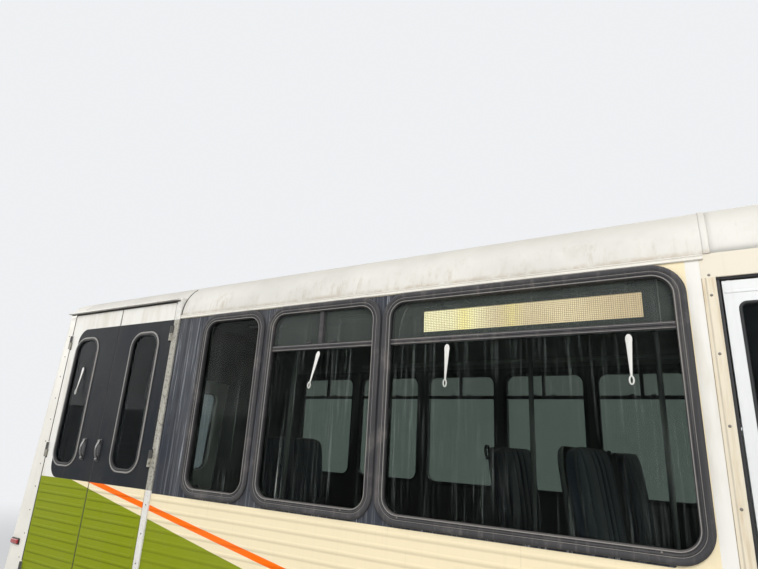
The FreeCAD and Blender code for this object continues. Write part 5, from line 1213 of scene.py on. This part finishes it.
def screenTurn(points):
    # boxes drawn as (v, u, h) laid on the windscreen's plane
    return onScreen(points[..., 1], points[..., 0], points[..., 2])


screenDetail = {
    "low": 0.79, "high": 0.72, "v": (0.07, slopeRun - 0.05), "r": 0.06, "wipers": (0.5, -0.16), "blade": 0.24,
    "profile": mm(-15, -0.5, -15, 3, -10, 6.5, -3, 7.2, 1, 5, 4, 5, 8, 6.5, 13, 3, 14, -9, 0.5, -9, 0.5, -0.5)
}


def screenPieces(cfg=screenDetail):
    v0, v1 = cfg["v"]
    off = tuple(onScreen(0, 0, 1) - onScreen(0, 0, 0))
    outline = roundedPolygon([(-cfg["low"], v0), (cfg["low"], v0), (cfg["high"], v1), (-cfg["high"], v1)], cfg["r"], 12)
    sealPath("screenRubber", outline, cfg["profile"], onScreen, blackRubber)
    sealPath("screenBead", outline, mm(-0.5, 4.5, 0, 6.6, 4, 6.6, 4.5, 4.5), onScreen, beadGrey)
    # cowl vent slats, then two wipers that lie over the foot of the glass
    joinBoxes("cowlSlats", [(0.016, 0.042, *span(u, 0.0035), -0.001, 0.0024) for u in np.linspace(-0.62, 0.62, 48)
            if all(abs(u - w) > 0.03 for w in cfg["wipers"])], 0.001, blackPlastic, turn=screenTurn)
    for i, u in enumerate(cfg["wipers"]):
        mid = (u - 0.33, 0.128)
        t = np.linspace(0, 1, 14)
        arm = onScreen(u + (mid[0] - u) * t, 0.03 + (mid[1] - 0.03) * t, 0.014 + 0.016 * np.sin(math.pi * t))
        sweep(f"wiperArm{i}", arm, mm(-8, -2.2, 8, -2.2, 6.5, 2.2, -6.5, 2.2), blackPlastic, up=off)
        tip = np.linspace(-cfg["blade"], cfg["blade"], 15)
        blade = onScreen(mid[0] + tip, mid[1] + 0.004 - 0.05 * tip, 0.0125 - 0.0036 * (tip / cfg["blade"]) ** 2)
        sweep(f"wiperBlade{i}", blade, mm(-4.5, -6.5, 4.5, -6.5, 5, 0, 3, 6, -3, 6, -5, 0), blackRubber, up=off)
        joinBoxes(f"wiperPivot{i}", [(0.014, 0.046, *span(u, 0.016), 0.0, 0.02)], 0.006, blackPlastic, turn=screenTurn,
            steps=3)


screenPieces()

# side glass: the driver's window leans in with the door, the fixed pane stands on the slanted panel

glassDetail = {
    "driver": [(1.111, 1.34), (1.852, 1.34), (1.652, 1.935), (1.111, 1.935)], "driverR": (0.04, 0.03, 0.06, 0.06),
    "lean": 0.1875, "quarter": [(1.941, 1.36), (2.164, 1.36), (2.164, 1.632), (1.941, 1.88)],
    "profile": mm(-11, -1, -11, 2.2, -7, 4.2, 0, 3.6, 6, 1.8, 8, -8.5, 0.5, -8.5, 0.5, -1)
}
leaningSide = lambda u, v, h: np.stack([u, cabHalf - np.maximum(v - 1.3, 0) * glassDetail["lean"] + h, v + h * 0], -1)
slantedSide = lambda u, v, h: np.stack([u + h * flare["normal"][0],
        (u - flare["from"]) * flare["slope"] - halfWidth - h * flare["normal"][1], v + h * 0], -1)
sealPath("driverRubber", roundedPolygon(glassDetail["driver"], glassDetail["driverR"]), glassDetail["profile"],
    leaningSide, blackRubber, "cab_door")
sealPath("quarterRubber", roundedPolygon(glassDetail["quarter"], 0.012), glassDetail["profile"], slantedSide,
    blackRubber)
roundBox("driverHandlePlate", 1.108, 1.252, cabHalf - 0.001, cabHalf + 0.005, 1.146, 1.204, 0.0028, blackPlastic,
    "cab_door")
roundBox("driverHandle", 1.118, 1.232, cabHalf + 0.006, cabHalf + 0.017, 1.166, 1.187, 0.005, chrome, "cab_door", 4)
joinBoxes("driverHandleFeet", [(*span(x, 0.01), cabHalf + 0.002, cabHalf + 0.012, 1.168, 1.185) for x in (1.13, 1.22)],
    0.003, chrome, "cab_door")
lathe("driverLock", mm(0, 0, 0, 8.5, 2.5, 8.5, 4, 6.5, 4, 0), [(1.243, cabHalf + 0.0045, 1.176)], chrome, "cab_door",
    18, 1)
roundBox("doorMoulding", 1.085, 1.95, cabHalf - 0.001, cabHalf + 0.0065, 0.905, 0.945, 0.004, blackPlastic, "cab_door",
    3)
roundBox("doorArmrest", 1.23, 1.72, 0.925, 0.978, 1.02, 1.075, 0.018, greyPlastic, "cab_door", 4)
print("screens and side glass done")


# head lamps: a housing, a bowl, a fluted lens and an amber lens under it

lampShape = {
    "y": (0.503, 0.857), "z": (0.702, 1.013), "face": 3.132, "back": 3.04, "head": (0.526, 0.834, 0.842, 0.992),
    "turn": (0.526, 0.834, 0.722, 0.815), "bowl": 0.046, "flute": 0.0105
}


def lampPanel(name, y0, y1, z0, z1, xOf, thick, finish, n=(46, 24)):
    # a panel whose front follows xOf(u, v) for u and v from -1 to 1, with a flat back
    u, v = np.meshgrid(np.linspace(-1, 1, n[0]), np.linspace(-1, 1, n[1]), indexing="ij")
    y, z = (y0 + y1) / 2 + u * (y1 - y0) / 2, (z0 + z1) / 2 + v * (z1 - z0) / 2
    front = np.stack([xOf(u, v, y), y, z], -1)
    back = np.stack([np.full_like(y, xOf(u, v, y).min() - thick), y, z], -1)
    return sharpen(slab(name, front, back, finish), 45)


def lampUnit(label, side, cfg=lampShape):
    y0, y1 = mirrored(side, *cfg["y"])
    face = cfg["face"]
    housing = roundBox(f"lampHousing_{label}", cfg["back"], face - 0.056, y0, y1, *cfg["z"], 0.004, blackPlastic)
    if side > 0:
        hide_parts("head_lamps")
    sealPath(f"lampFrame_{label}", roundedPath(y0, y1, *cfg["z"], 0.012),
        mm(0, -60, 0, 0, 3, 2, 12, 2, 20, -6, 22, -60), onEnd(face), grilleGrey)
    joinBoxes(f"lampBar_{label}", [(face - 0.056, face - 0.002, y0 + 0.012, y1 - 0.012, 0.817, 0.84)], 0.003,
        grilleGrey)
    a, b, c, d = cfg["head"]
    ya, yb = mirrored(side, a, b)
    bowl = lambda u, v, y: face - 0.006 - cfg["bowl"] * np.clip(1 - (np.abs(u) ** 2.4 + np.abs(v) ** 2.4), 0, 1) ** 0.55
    lampPanel(f"lampBowl_{label}", ya, yb, c, d, bowl, 0.003, chrome)
    flutes = 2 * math.pi / cfg["flute"]
    lens = lambda u, v, y: face + 0.0005 - 0.006 * u ** 2 - 0.002 * v ** 2 + 0.0004 * np.cos(y * flutes)
    lampPanel(f"lampLens_{label}", ya, yb, c, d, lens, 0.0005, lensClear, (120, 10))
    lathe(f"lampBulb_{label}", mm(-34, 0, -34, 14, -20, 13.5, -13, 9, -10, 0),
        [(face - 0.006, (ya + yb) / 2, (c + d) / 2)], whiteLens, "bus", 24, 0)
    a, b, c, d = cfg["turn"]
    amber = lambda u, v, y: face - 0.001 - 0.005 * u ** 4 - 0.004 * v ** 4 + 0.0007 * np.cos(v * math.pi * 7)
    lampPanel(f"lampTurn_{label}", ya, yb, c, d, amber, 0.004, amberLens, (30, 60))


lampUnit("left", 1)
lampUnit("right", -1)
sealPath("grilleFrame", roundedPath(-0.4985, 0.4985, 0.702, 1.013, 0.014),
    mm(0, -4, 0.5, 3, 4, 5, 14, 5, 18, 1, 18.5, -4), onEnd(3.134), grilleGrey)
markers = (-0.66, -0.17, 0.0, 0.17, 0.66)
joinBoxes("frontMarkerBases", [(2.0255, 2.0395, *span(y, 0.052), 2.386, 2.414) for y in markers], 0.005, blackPlastic)
joinBoxes("frontMarkers", [(2.034, 2.051, *span(y, 0.043), 2.3895, 2.4105) for y in markers], 0.008, amberLens, steps=4)
for i, y in enumerate((-0.44, 0.44)):
    x = np.linspace(2.64, 3.04, 24)
    rise = np.sin(np.linspace(0, math.pi, 24)) ** 0.35
    path = np.stack([x, y * (1 - 0.06 * (x - 2.64)), cowlZ - 0.3933 * (x - cowlX) - 0.004 + 0.004 * rise], -1)
    sweep(f"hoodRidge{i}", path, mm(-13, -1, -8, 1.6, -3, 3, 3, 3, 8, 1.6, 13, -1), cabPaint, "hood_lid")
for label, x, side in (("left", 2.052, 1), ("right", 2.254, -1)):
    for name, z0, z1 in (("mirrorGlass", 1.5, 1.72), ("mirrorWide", 1.392, 1.486)):
        roundBox(f"{name}_{label}", x - 0.0425, x - 0.0385, *mirrored(side, 1.302, 1.454), z0, z1, 0.0015, mirrorGlass)
print("front done")


# tyres: the section turned round the axle, with grooves and lugs cut by the height of the tread pattern

tyreShape = {
    "radius": 0.372, "width": 0.2237, "rim": 0.205, "around": 264, "grooves": [-0.045, 0.0, 0.045],
    "grooveHalf": 0.0055, "depth": 0.01, "pitch": 66,
    "low": mm(26.5, 0, 16, 6, 11, 22, 10.5, 30, 4, 46, 0, 78, 0.5, 100), "shoulder": mm(2, -40, 6, -24, 13, -10, 22, -3)
}


def tyrePiece(name, x, y, body, node, cfg=tyreShape):
    w, big = cfg["width"] / 2, cfg["radius"]
    crown = np.linspace(-w + 0.03, w - 0.03, 31)
    # the sidewall from the rim out to the shoulder
    side = np.concatenate([cfg["low"] + (-w, cfg["rim"]), cfg["shoulder"] + (-w, big)])
    outline = np.concatenate([side, [(c, big) for c in crown], side[::-1] * (-1, 1)])
    a = fullTurn(cfg["around"])
    along, radius = (np.tile(outline[:, k], (len(a), 1)) for k in (0, 1))
    tread = radius > big - 0.012
    cut = np.zeros_like(radius)
    for g in cfg["grooves"]:
        wave = g + 0.0035 * np.sign(np.sin(a * cfg["pitch"] / 2))[:, None]
        cut = np.maximum(cut, (np.abs(along - wave) < cfg["grooveHalf"]) * 1.0)
    lug = (np.sin(a * cfg["pitch"])[:, None] > 0.72) & (np.abs(along) > 0.058)
    cut = np.maximum(cut, lug * 0.9)
    radius = radius - cut * tread * cfg["depth"]
    points = np.stack([np.cos(a)[:, None] * radius + x, along + y, np.sin(a)[:, None] * radius + axleHeight], -1)
    piece = faceOut(addMesh(name, points, gridFaces(len(a), len(outline), True, True), tyreRubber, body))
    sharpen(piece, 40)
    if node:
        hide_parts(node)
    return piece


for label, side in (("left", 1), ("right", -1)):
    tyrePiece(f"frontTyre_{label}", frontAxle, side * 0.8815, f"front_wheel_{label}", f"front_tyre_{label}")
    tyrePiece(f"rearTyreOuter_{label}", rearAxle, side * 1.103, f"rear_wheels_{label}", f"rear_tyres_{label}")
    tyrePiece(f"rearTyreInner_{label}", rearAxle, side * 0.807, f"rear_wheels_{label}", None)
print("tyres done")


# wheel nuts and hub caps

hubDetail = {
    "front": {"face": 1.0065, "ring": 0.086, "cap": (1.0315, 0.06)},
    "rear": {"face": 0.969, "ring": 0.094, "cap": (1.155, 0.064)}, "nuts": 8
}


def boltRing(axle, y, r):
    n = hubDetail["nuts"]
    a = fullTurn(n) + math.pi / n
    return np.stack([axle + r * np.cos(a), np.full(n, y), axleHeight + r * np.sin(a)], -1)


def hubPieces(label, side, axle, body, cfg):
    ring = boltRing(axle, side * cfg["face"], cfg["ring"])
    domes(f"{label}Nuts", ring, (0, side, 0), 0.0135, 0.02, rustySteel if "rear" in label else steel, body, rings=2,
        around=6)
    domes(f"{label}Washers", ring, (0, side, 0), 0.018, 0.004, steel, body, rings=2, around=16)
    end, r = cfg["cap"]
    lathe(f"{label}Cap", [(side * h, q)
            for h, q in ((-0.004, 0.0), (-0.004, r), (0.003, r), (0.007, r * 0.93), (0.009, r * 0.7), (0.01, r * 0.35),
                (0.01, 0.0))], [(axle, side * end, axleHeight)], chrome if "front" in label else rimPaint, body, 40, 1)
    if "rear" in label:
        domes(f"{label}CapBolts", boltRing(axle, side * (end + 0.0085), r * 0.76), (0, side, 0), 0.0062, 0.006,
            rustySteel, body, rings=2, around=6)


for label, side in (("left", 1), ("right", -1)):
    hubPieces(f"frontHub_{label}", side, frontAxle, f"front_wheel_{label}", hubDetail["front"])
    hubPieces(f"rearHub_{label}", side, rearAxle, f"rear_wheels_{label}", hubDetail["rear"])
print("hubs done")


# seats: padded forms swollen by a cloth simulation between seams that are held, on moulded shells

def bulge(p, across, crown, pinch):
    # the sides are drawn in between their corners, and the broad face ahead is crowned
    p = p.copy()
    one, other = (k for k in range(3) if k != across)
    a, b = p[:, one] ** 2, p[:, other] ** 2
    p[:, one] *= 1 - pinch * (1 - b)
    p[:, other] *= 1 - pinch * (1 - a)
    p[:, across] *= np.where(p[:, across] > 0, (1 + crown * (1 - a) * (1 - b)) / (1 + crown), 1)
    return p


def softForm(kind, half, across, seams, weltAt=0.45, power=6.5, crown=0.16, pinch=0.02, swell=0.008, voxel=0.01, n=30):
    # a rounded block |a|^p + |b|^p + |c|^p = 1, with seams pressed along planes of equal y
    half = np.asarray(half, float)
    p, faces = cubeSides(np.linspace(-1, 1, n), 1)
    p = bulge(p / (np.abs(p) ** power).sum(1, keepdims=True) ** (1 / power), across, crown, pinch)
    piece = faceOut(addMesh(kind, p * (half - 0.3 * swell), faces, seatCloth, None))
    inflate(piece, half, across, seams, weltAt, swell, voxel)
    p = pointsOf(piece)
    along = next(k for k in range(3) if k not in (1, across))
    fade = np.clip(1.15 - np.abs(p[:, along] / half[along]) ** 10, 0, 1) * (p[:, across] > 0)
    for place, depth, wide in seams:
        p[:, across] -= np.exp(-((p[:, 1] - place) / wide) ** 2) * depth * fade
    faces = [tuple(f.vertices) for f in piece.data.polygons]
    bpy.data.objects.remove(piece)
    # the welt follows the form at one height
    turn = np.radians(np.arange(0, 360, 2.5))
    ring = np.stack([np.cos(turn), np.sin(turn)], -1)
    ring *= ((1 - weltAt ** power) / (np.abs(ring) ** power).sum(1, keepdims=True)) ** (1 / power)
    welt = np.full((len(ring), 3), weltAt)
    welt[:, [k for k in range(3) if k != across]] = ring
    return p, faces, bulge(welt, across, crown, pinch) * (half + 0.001)


def inflate(piece, half, across, seams, weltAt, swell, voxel, pressure=30.0):
    # cloth under pressure, held at its seams, its welt and its resting face; no point moves further than swell
    scene, mesh = bpy.context.scene, piece.data
    remesh = piece.modifiers.new("remesh", "REMESH")
    remesh.mode, remesh.voxel_size = "VOXEL", voxel
    piece.data = bpy.data.meshes.new_from_object(piece.evaluated_get(bpy.context.evaluated_depsgraph_get()))
    piece.modifiers.clear()
    bpy.data.meshes.remove(mesh)
    start = pointsOf(piece)
    rim = np.abs(start / half).max(1, where=[k != across for k in range(3)], initial=0) > 0.9
    atWelt = np.abs(start[:, across] - weltAt * half[across]) < 0.6 * voxel
    held = (start[:, across] < -0.8 * half[across]) | atWelt & rim
    for place, depth, wide in seams:
        held |= (np.abs(start[:, 1] - place) < 0.7 * voxel) & (start[:, across] > 0)
    group = piece.vertex_groups.new(name="held")
    group.add([int(i) for i in np.nonzero(held)[0]], 1.0, "REPLACE")
    cloth = piece.modifiers.new("cloth", "CLOTH")
    cloth.settings.vertex_group_mass = "held"
    cloth.settings.use_pressure, cloth.settings.uniform_pressure_force = True, pressure
    cloth.settings.effector_weights.gravity = 0.0
    cloth.point_cache.frame_start, cloth.point_cache.frame_end = 1, 20
    for frameNumber in range(1, 21):
        scene.frame_set(frameNumber)
    move = pointsOf(piece.evaluated_get(bpy.context.evaluated_depsgraph_get())) - start
    length = np.linalg.norm(move, axis=1, keepdims=True)
    piece.modifiers.clear()
    scene.frame_set(1)
    piece.data.vertices.foreach_set("co", (start + move * np.minimum(1, swell / np.maximum(length, 1e-9))).ravel())
    piece.modifiers.new("finer", "SUBSURF").levels = 1
    piece.data = bpy.data.meshes.new_from_object(piece.evaluated_get(bpy.context.evaluated_depsgraph_get()))
    piece.modifiers.clear()
    print("swollen:", piece.name, len(start), "points, mean move", round(float(length.mean()), 4), "m")


def softPiece(name, form, centre, lean=None):
    p, faces, welt = form
    place = (lambda q: lean(q + centre)) if lean else (lambda q: q + centre)
    piece = addMesh(name, place(p), faces, seatCloth)
    up = (1, 0, 0) if lean else (0, 0, 1)
    sweep(name + "Welt", place(welt), circle(0.0042, 8), seatShell, up=up, closed=True)
    return piece


saloonSeats = {
    "rows": [(0.43, -1), (0.43, 1), (-0.33, 1), (-2.4, 1)], "y": (0.24, 1.12), "base": (0.04, 0.48),
    "baseZ": (1.117, 1.217), "back": (-0.03, 0.06), "backZ": (1.21, 1.797), "slope": 0.12, "driver": (1.344, 0.52)
}
benchSeams = ((0.0, 0.022, 0.013), (-0.318, 0.006, 0.011), (-0.118, 0.006, 0.011), (0.118, 0.006, 0.011),
    (0.318, 0.006, 0.011))
driverSeams = tuple((y, 0.006, 0.01) for y in (-0.13, -0.065, 0.0, 0.065, 0.13))
forms = {
    "bench": softForm("bench", (0.218, 0.434, 0.045), 2, benchSeams),
    "benchBack": softForm("benchBack", (0.037, 0.434, 0.282), 0, benchSeams),
    "driverPad": softForm("driverPadForm", (0.243, 0.234, 0.055), 2, driverSeams, power=5.0),
    "driverBack": softForm("driverBackForm", (0.056, 0.222, 0.246), 0, driverSeams, power=5.0),
    "headrest": softForm("headrestForm", (0.043, 0.13, 0.08), 0, (), power=4.0, voxel=0.008)
}


def seatRow(i, x, side, cfg=saloonSeats):
    y0, y1 = mirrored(side, *cfg["y"])
    middle = (y0 + y1) / 2
    b0, b1 = cfg["base"]
    z0, z1 = cfg["baseZ"]
    base = softPiece(f"seatBase{i}", forms["bench"], (x + (b0 + b1) / 2, middle, (z0 + z1) / 2 + 0.006))
    roundBox(f"seatPan{i}", x + b0 + 0.01, x + b1 - 0.012, y0 + 0.012, y1 - 0.012, z0 - 0.001, z0 + 0.02, 0.008,
        seatShell)
    # the back leans: each point moves back as it rises
    c0, c1 = cfg["back"]
    z0, z1 = cfg["backZ"]
    lean = lambda p: np.stack([p[..., 0] + x + 0.06 - (p[..., 2] - 1.217) * cfg["slope"], p[..., 1], p[..., 2]], -1)
    softPiece(f"seatBack{i}", forms["benchBack"], ((c0 + c1) / 2 + 0.008, middle, (z0 + z1) / 2 + 0.008), lean)
    # a shell with rounded corners and an edge that turns forwards
    outline, outs = roundedPath(y0 + 0.008, y1 - 0.008, z0 + 0.014, z1 - 0.006, 0.085, 8)
    rim = np.column_stack([np.full(len(outline), c0 + 0.022), outline])
    rings = [rim - np.column_stack([np.full(len(outline), back), outs * inward])
        for back, inward in ((0, 0), (0.01, 0.001), (0.02, 0.012))]
    centre = np.array([c0 + 0.002, middle, (z0 + z1) / 2])
    rings += [centre + (rings[-1] - centre) * (1, k, k) for k in (0.6, 0.2)]
    out = np.stack([lean(r) for r in rings])
    slab(f"seatShell{i}", out + (0.004, 0, 0), out, seatShell)
    inner = y0 + 0.05 if side > 0 else y1 - 0.05
    grip = [(c0 - 0.004, inner - 0.035, z1 - 0.09), (c0 - 0.01, inner - 0.035, z1 - 0.03),
        (c0 - 0.006, inner - 0.022, z1 - 0.004), (c0 - 0.006, inner + 0.022, z1 - 0.004),
        (c0 - 0.01, inner + 0.035, z1 - 0.03), (c0 - 0.004, inner + 0.035, z1 - 0.09)]
    sweep(f"seatGrip{i}", lean(np.array(grip)), circle(0.009, 10), blackPlastic, up=(1, 0, 0))
    return base


for i, (x, side) in enumerate(saloonSeats["rows"]):
    base = seatRow(i, x, side)
    if i == 0:
        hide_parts("seat_cushions")
dx, dy = saloonSeats["driver"]
driverLean = lambda p: np.stack([p[..., 0] + dx + 0.006 - (p[..., 2] - 1.207) * 0.115, p[..., 1] + dy, p[..., 2]], -1)
pad = softPiece("driverPad", forms["driverPad"], (dx + 0.254, dy, 1.153))
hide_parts("driver_seat")
softPiece("driverBack", forms["driverBack"], (-0.003, 0, 1.453), driverLean)
softPiece("driverHeadrest", forms["headrest"], (-0.001, 0, 1.792), driverLean)
roundBox("driverPlinth", dx + 0.07, dx + 0.43, *span(dy, 0.175), 0.789, 1.02, 0.02, seatShell, steps=3)
joinBoxes("driverBellows", [(*span(dx + 0.25, 0.19 - i % 2 * 0.012), *span(dy, 0.18 - i % 2 * 0.012), 1.015 + i * 0.011,
            1.028 + i * 0.011) for i in range(7)], 0.005, blackRubber)
joinBoxes("headrestPosts", [(dx - 0.052, dx - 0.042, *span(dy + s * 0.06, 0.005), 1.66, 1.74) for s in (-1, 1)], 0.004,
    steel)
print("seats done")


# dashboard top, steering wheel, lamps in the ceiling, edges of the steps and the lift

dashDetail = {
    "pod": (2.176, 2.345, 0.33, 0.71, 1.24, 1.318), "vents": (-0.62, -0.44, -0.05, 0.86), "gauges": (0.405, 0.52, 0.635)
}


def dashPieces(cfg=dashDetail):
    roundBox("dashPod", *cfg["pod"], 0.03, greyPlastic, steps=5)
    domes("dashDials", [(2.1765, y, 1.278) for y in cfg["gauges"]], (-1, 0, 0), 0.026, 0.003, blackPlastic, around=24)
    domes("dialRims", [(2.1762, y, 1.278) for y in cfg["gauges"]], (-1, 0, 0), 0.03, 0.0018, chrome, rings=2, around=24)
    joinBoxes("dashVents", [(2.128 + k * 0.007, 2.14 + k * 0.007, *span(y, 0.055), 1.183 + k * 0.0115,
                1.188 + k * 0.0115) for y in cfg["vents"] for k in range(5)], 0.002, blackPlastic)
    joinBoxes("gloveLid", [(2.2245, 2.2365, -0.6, -0.24, 1.112, 1.15)], 0.004, greyPlastic)


dashPieces()
skinOf("wheelSkin", "steering_wheel", blackPlastic, "hand_wheel", 40)
tilt = math.radians(38)
wheelAxes = np.array([(math.cos(tilt), 0, math.sin(tilt)), (0, 1, 0), (-math.sin(tilt), 0, math.cos(tilt))])
joinBoxes("hornPad", [(-0.055, 0.055, -0.04, 0.04, 0.004, 0.026)], 0.01, blackPlastic, "hand_wheel", 4,
    lambda points: np.array([2.024, 0.52, 1.29]) + points @ wheelAxes)

under = crownZ - 0.04
spots = [(x, y) for x in (-2.35, -1.35, 0.45) for y in (-0.13, 0.13)]
joinBoxes("ceilingLamps", [(*span(x, 0.16), *span(y, 0.055), under - 0.03, under - 0.004) for x, y in spots], 0.01,
    whiteLens, steps=3)
joinBoxes("ceilingLampRims", [(*span(x, 0.175), *span(y, 0.068), under - 0.014, under - 0.002) for x, y in spots],
    0.005, panelGrey)
joinBoxes("ceilingSeams", [(-3.0, 0.9, *span(y, 0.01), under - 0.012, under - 0.006) for y in (-0.3, 0.3)], 0.002,
    panelGrey)
steps = [(-1.159, 0.355), (-0.889, 0.57), (-0.56, 0.787)]
joinBoxes("stepNosings", [(0.945, 1.845, y - 0.002, y + 0.036, z, z + 0.0035) for y, z in steps], 0.0015, yellowEdge)
joinBoxes("stepRibs", [(0.955, 1.835, y + 0.05 + k * 0.028, y + 0.058 + k * 0.028, z, z + 0.0022) for y, z in steps[:2]
        for k in range(7)], 0.001, blackRubber)
joinBoxes("aisleRibs", [(-1.8, 0.9, *span(y, 0.004), 0.787, 0.7895) for y in np.arange(-0.2, 0.21, 0.05)], 0.001,
    blackRubber)
joinBoxes("liftEdges", [(-2.712, -2.011, -1.112, -1.106, 0.85, 0.88)], 0.003, yellowEdge)
joinBoxes("liftGrating", [(-2.7, -2.022, -1.1135, -1.108, z, z + 0.006) for z in np.arange(0.9, 1.89, 0.034)], 0.002,
    steel)
roundBox("radiator", 3.03, 3.052, -0.47, 0.47, 0.69, 1.01, 0.006, castIron)
joinBoxes("radiatorFins", [(3.051, 3.0545, -0.455, 0.455, z, z + 0.003) for z in np.arange(0.705, 1.0, 0.012)], 0.001,
    castIron)
print("inside done")


# camera, light and floor

view = {"place": (0.896, -3.256, 1.75), "yaw": -31.7455, "pitch": 17.1345, "roll": -3.132, "lens": 526.0 * 36 / 758}
yaw, pitch, roll = (math.radians(view[k]) for k in ("yaw", "pitch", "roll"))
ahead = np.array([math.sin(yaw) * math.cos(pitch), math.cos(yaw) * math.cos(pitch), math.sin(pitch)])
right = np.array([math.cos(yaw), -math.sin(yaw), 0.0])
down = np.cross(ahead, right)
imageRight = right * math.cos(roll) + down * math.sin(roll)
imageDown = -right * math.sin(roll) + down * math.cos(roll)
camera = bpy.data.objects.new("camera", bpy.data.cameras.new("camera"))
bpy.context.scene.collection.objects.link(camera)
turn = Matrix([list(imageRight), list(-imageDown), list(-ahead)]).transposed().to_4x4()
camera.matrix_world = Matrix.Translation(view["place"]) @ turn
camera.data.sensor_width, camera.data.lens = 36, view["lens"]
camera.data.clip_start, camera.data.clip_end = 0.05, 200
bpy.context.scene.camera = camera

# each lamp: where it shines from, its size and its power
lights = {
    "key": ((4.5, -8.0, 7.5), 5.0, 760.0), "fill": ((-8.0, -5.0, 5.0), 6.0, 260.0),
    "left": ((2.0, 9.0, 7.0), 6.0, 480.0)
}
for name, (place, size, power) in lights.items():
    lamp = bpy.data.lights.new(name, "AREA")
    lamp.energy, lamp.size = power, size
    holder = bpy.data.objects.new(name, lamp)
    holder.location = place
    holder.rotation_euler = (Vector((0.0, 0.0, 1.3)) - Vector(place)).to_track_quat("-Z", "Y").to_euler()
    bpy.context.scene.collection.objects.link(holder)

studio = {
    "sky": (0.78, 0.82, 0.88), "skyStrength": 0.62, "seen": (0.86, 0.875, 0.895), "floor": (0.66, 0.65, 0.63),
    "fadeFrom": 6.0, "fadeTo": 15.0
}


def seenRay():
    # 1 for rays of the camera, of glossy surfaces and of glass
    rays = newNode("LightPath").outputs
    return highest(*(Level(rays[kind]) for kind in ("Is Camera Ray", "Is Glossy Ray", "Is Transmission Ray")))


def shine(kind, colour, strength=1.0):
    return Level(fill(newNode(kind), {0: colour, 1: strength}).outputs[0])


def blend(share, first, second):
    return Level(fill(newNode("MixShader"), {0: share, 1: first, 2: second}).outputs[0])


world = bpy.data.worlds.new("world")
bpy.context.scene.world = world
startTree(world)
sky = shine("Background", studio["sky"], studio["skyStrength"])
plug(newNode("OutputWorld").inputs[0], blend(seenRay(), sky, shine("Background", studio["seen"])))

# the floor fades into the backdrop
floorFinish, shader = newFinish("floorFinish")
fill(shader, {"Base Color": studio["floor"], "Roughness": 0.8})
x, y, z = split()
fade = ramp(calc("SQRT", x * x + y * y), studio["fadeFrom"], studio["fadeTo"])
floorShade = blend(fade * seenRay(), Level(shader.outputs[0]), shine("Emission", studio["seen"]))
plug(next(n for n in current["tree"].nodes if n.type == "OUTPUT_MATERIAL").inputs[0], floorShade)
corners = [(-60, -60, 0), (60, -60, 0), (60, 60, 0), (-60, 60, 0)]
studioFloor = addMesh("studioFloor", corners, [(0, 1, 2, 3)], floorFinish, None)
bpy.context.scene.view_settings.view_transform = "Standard"
print("camera and light done")
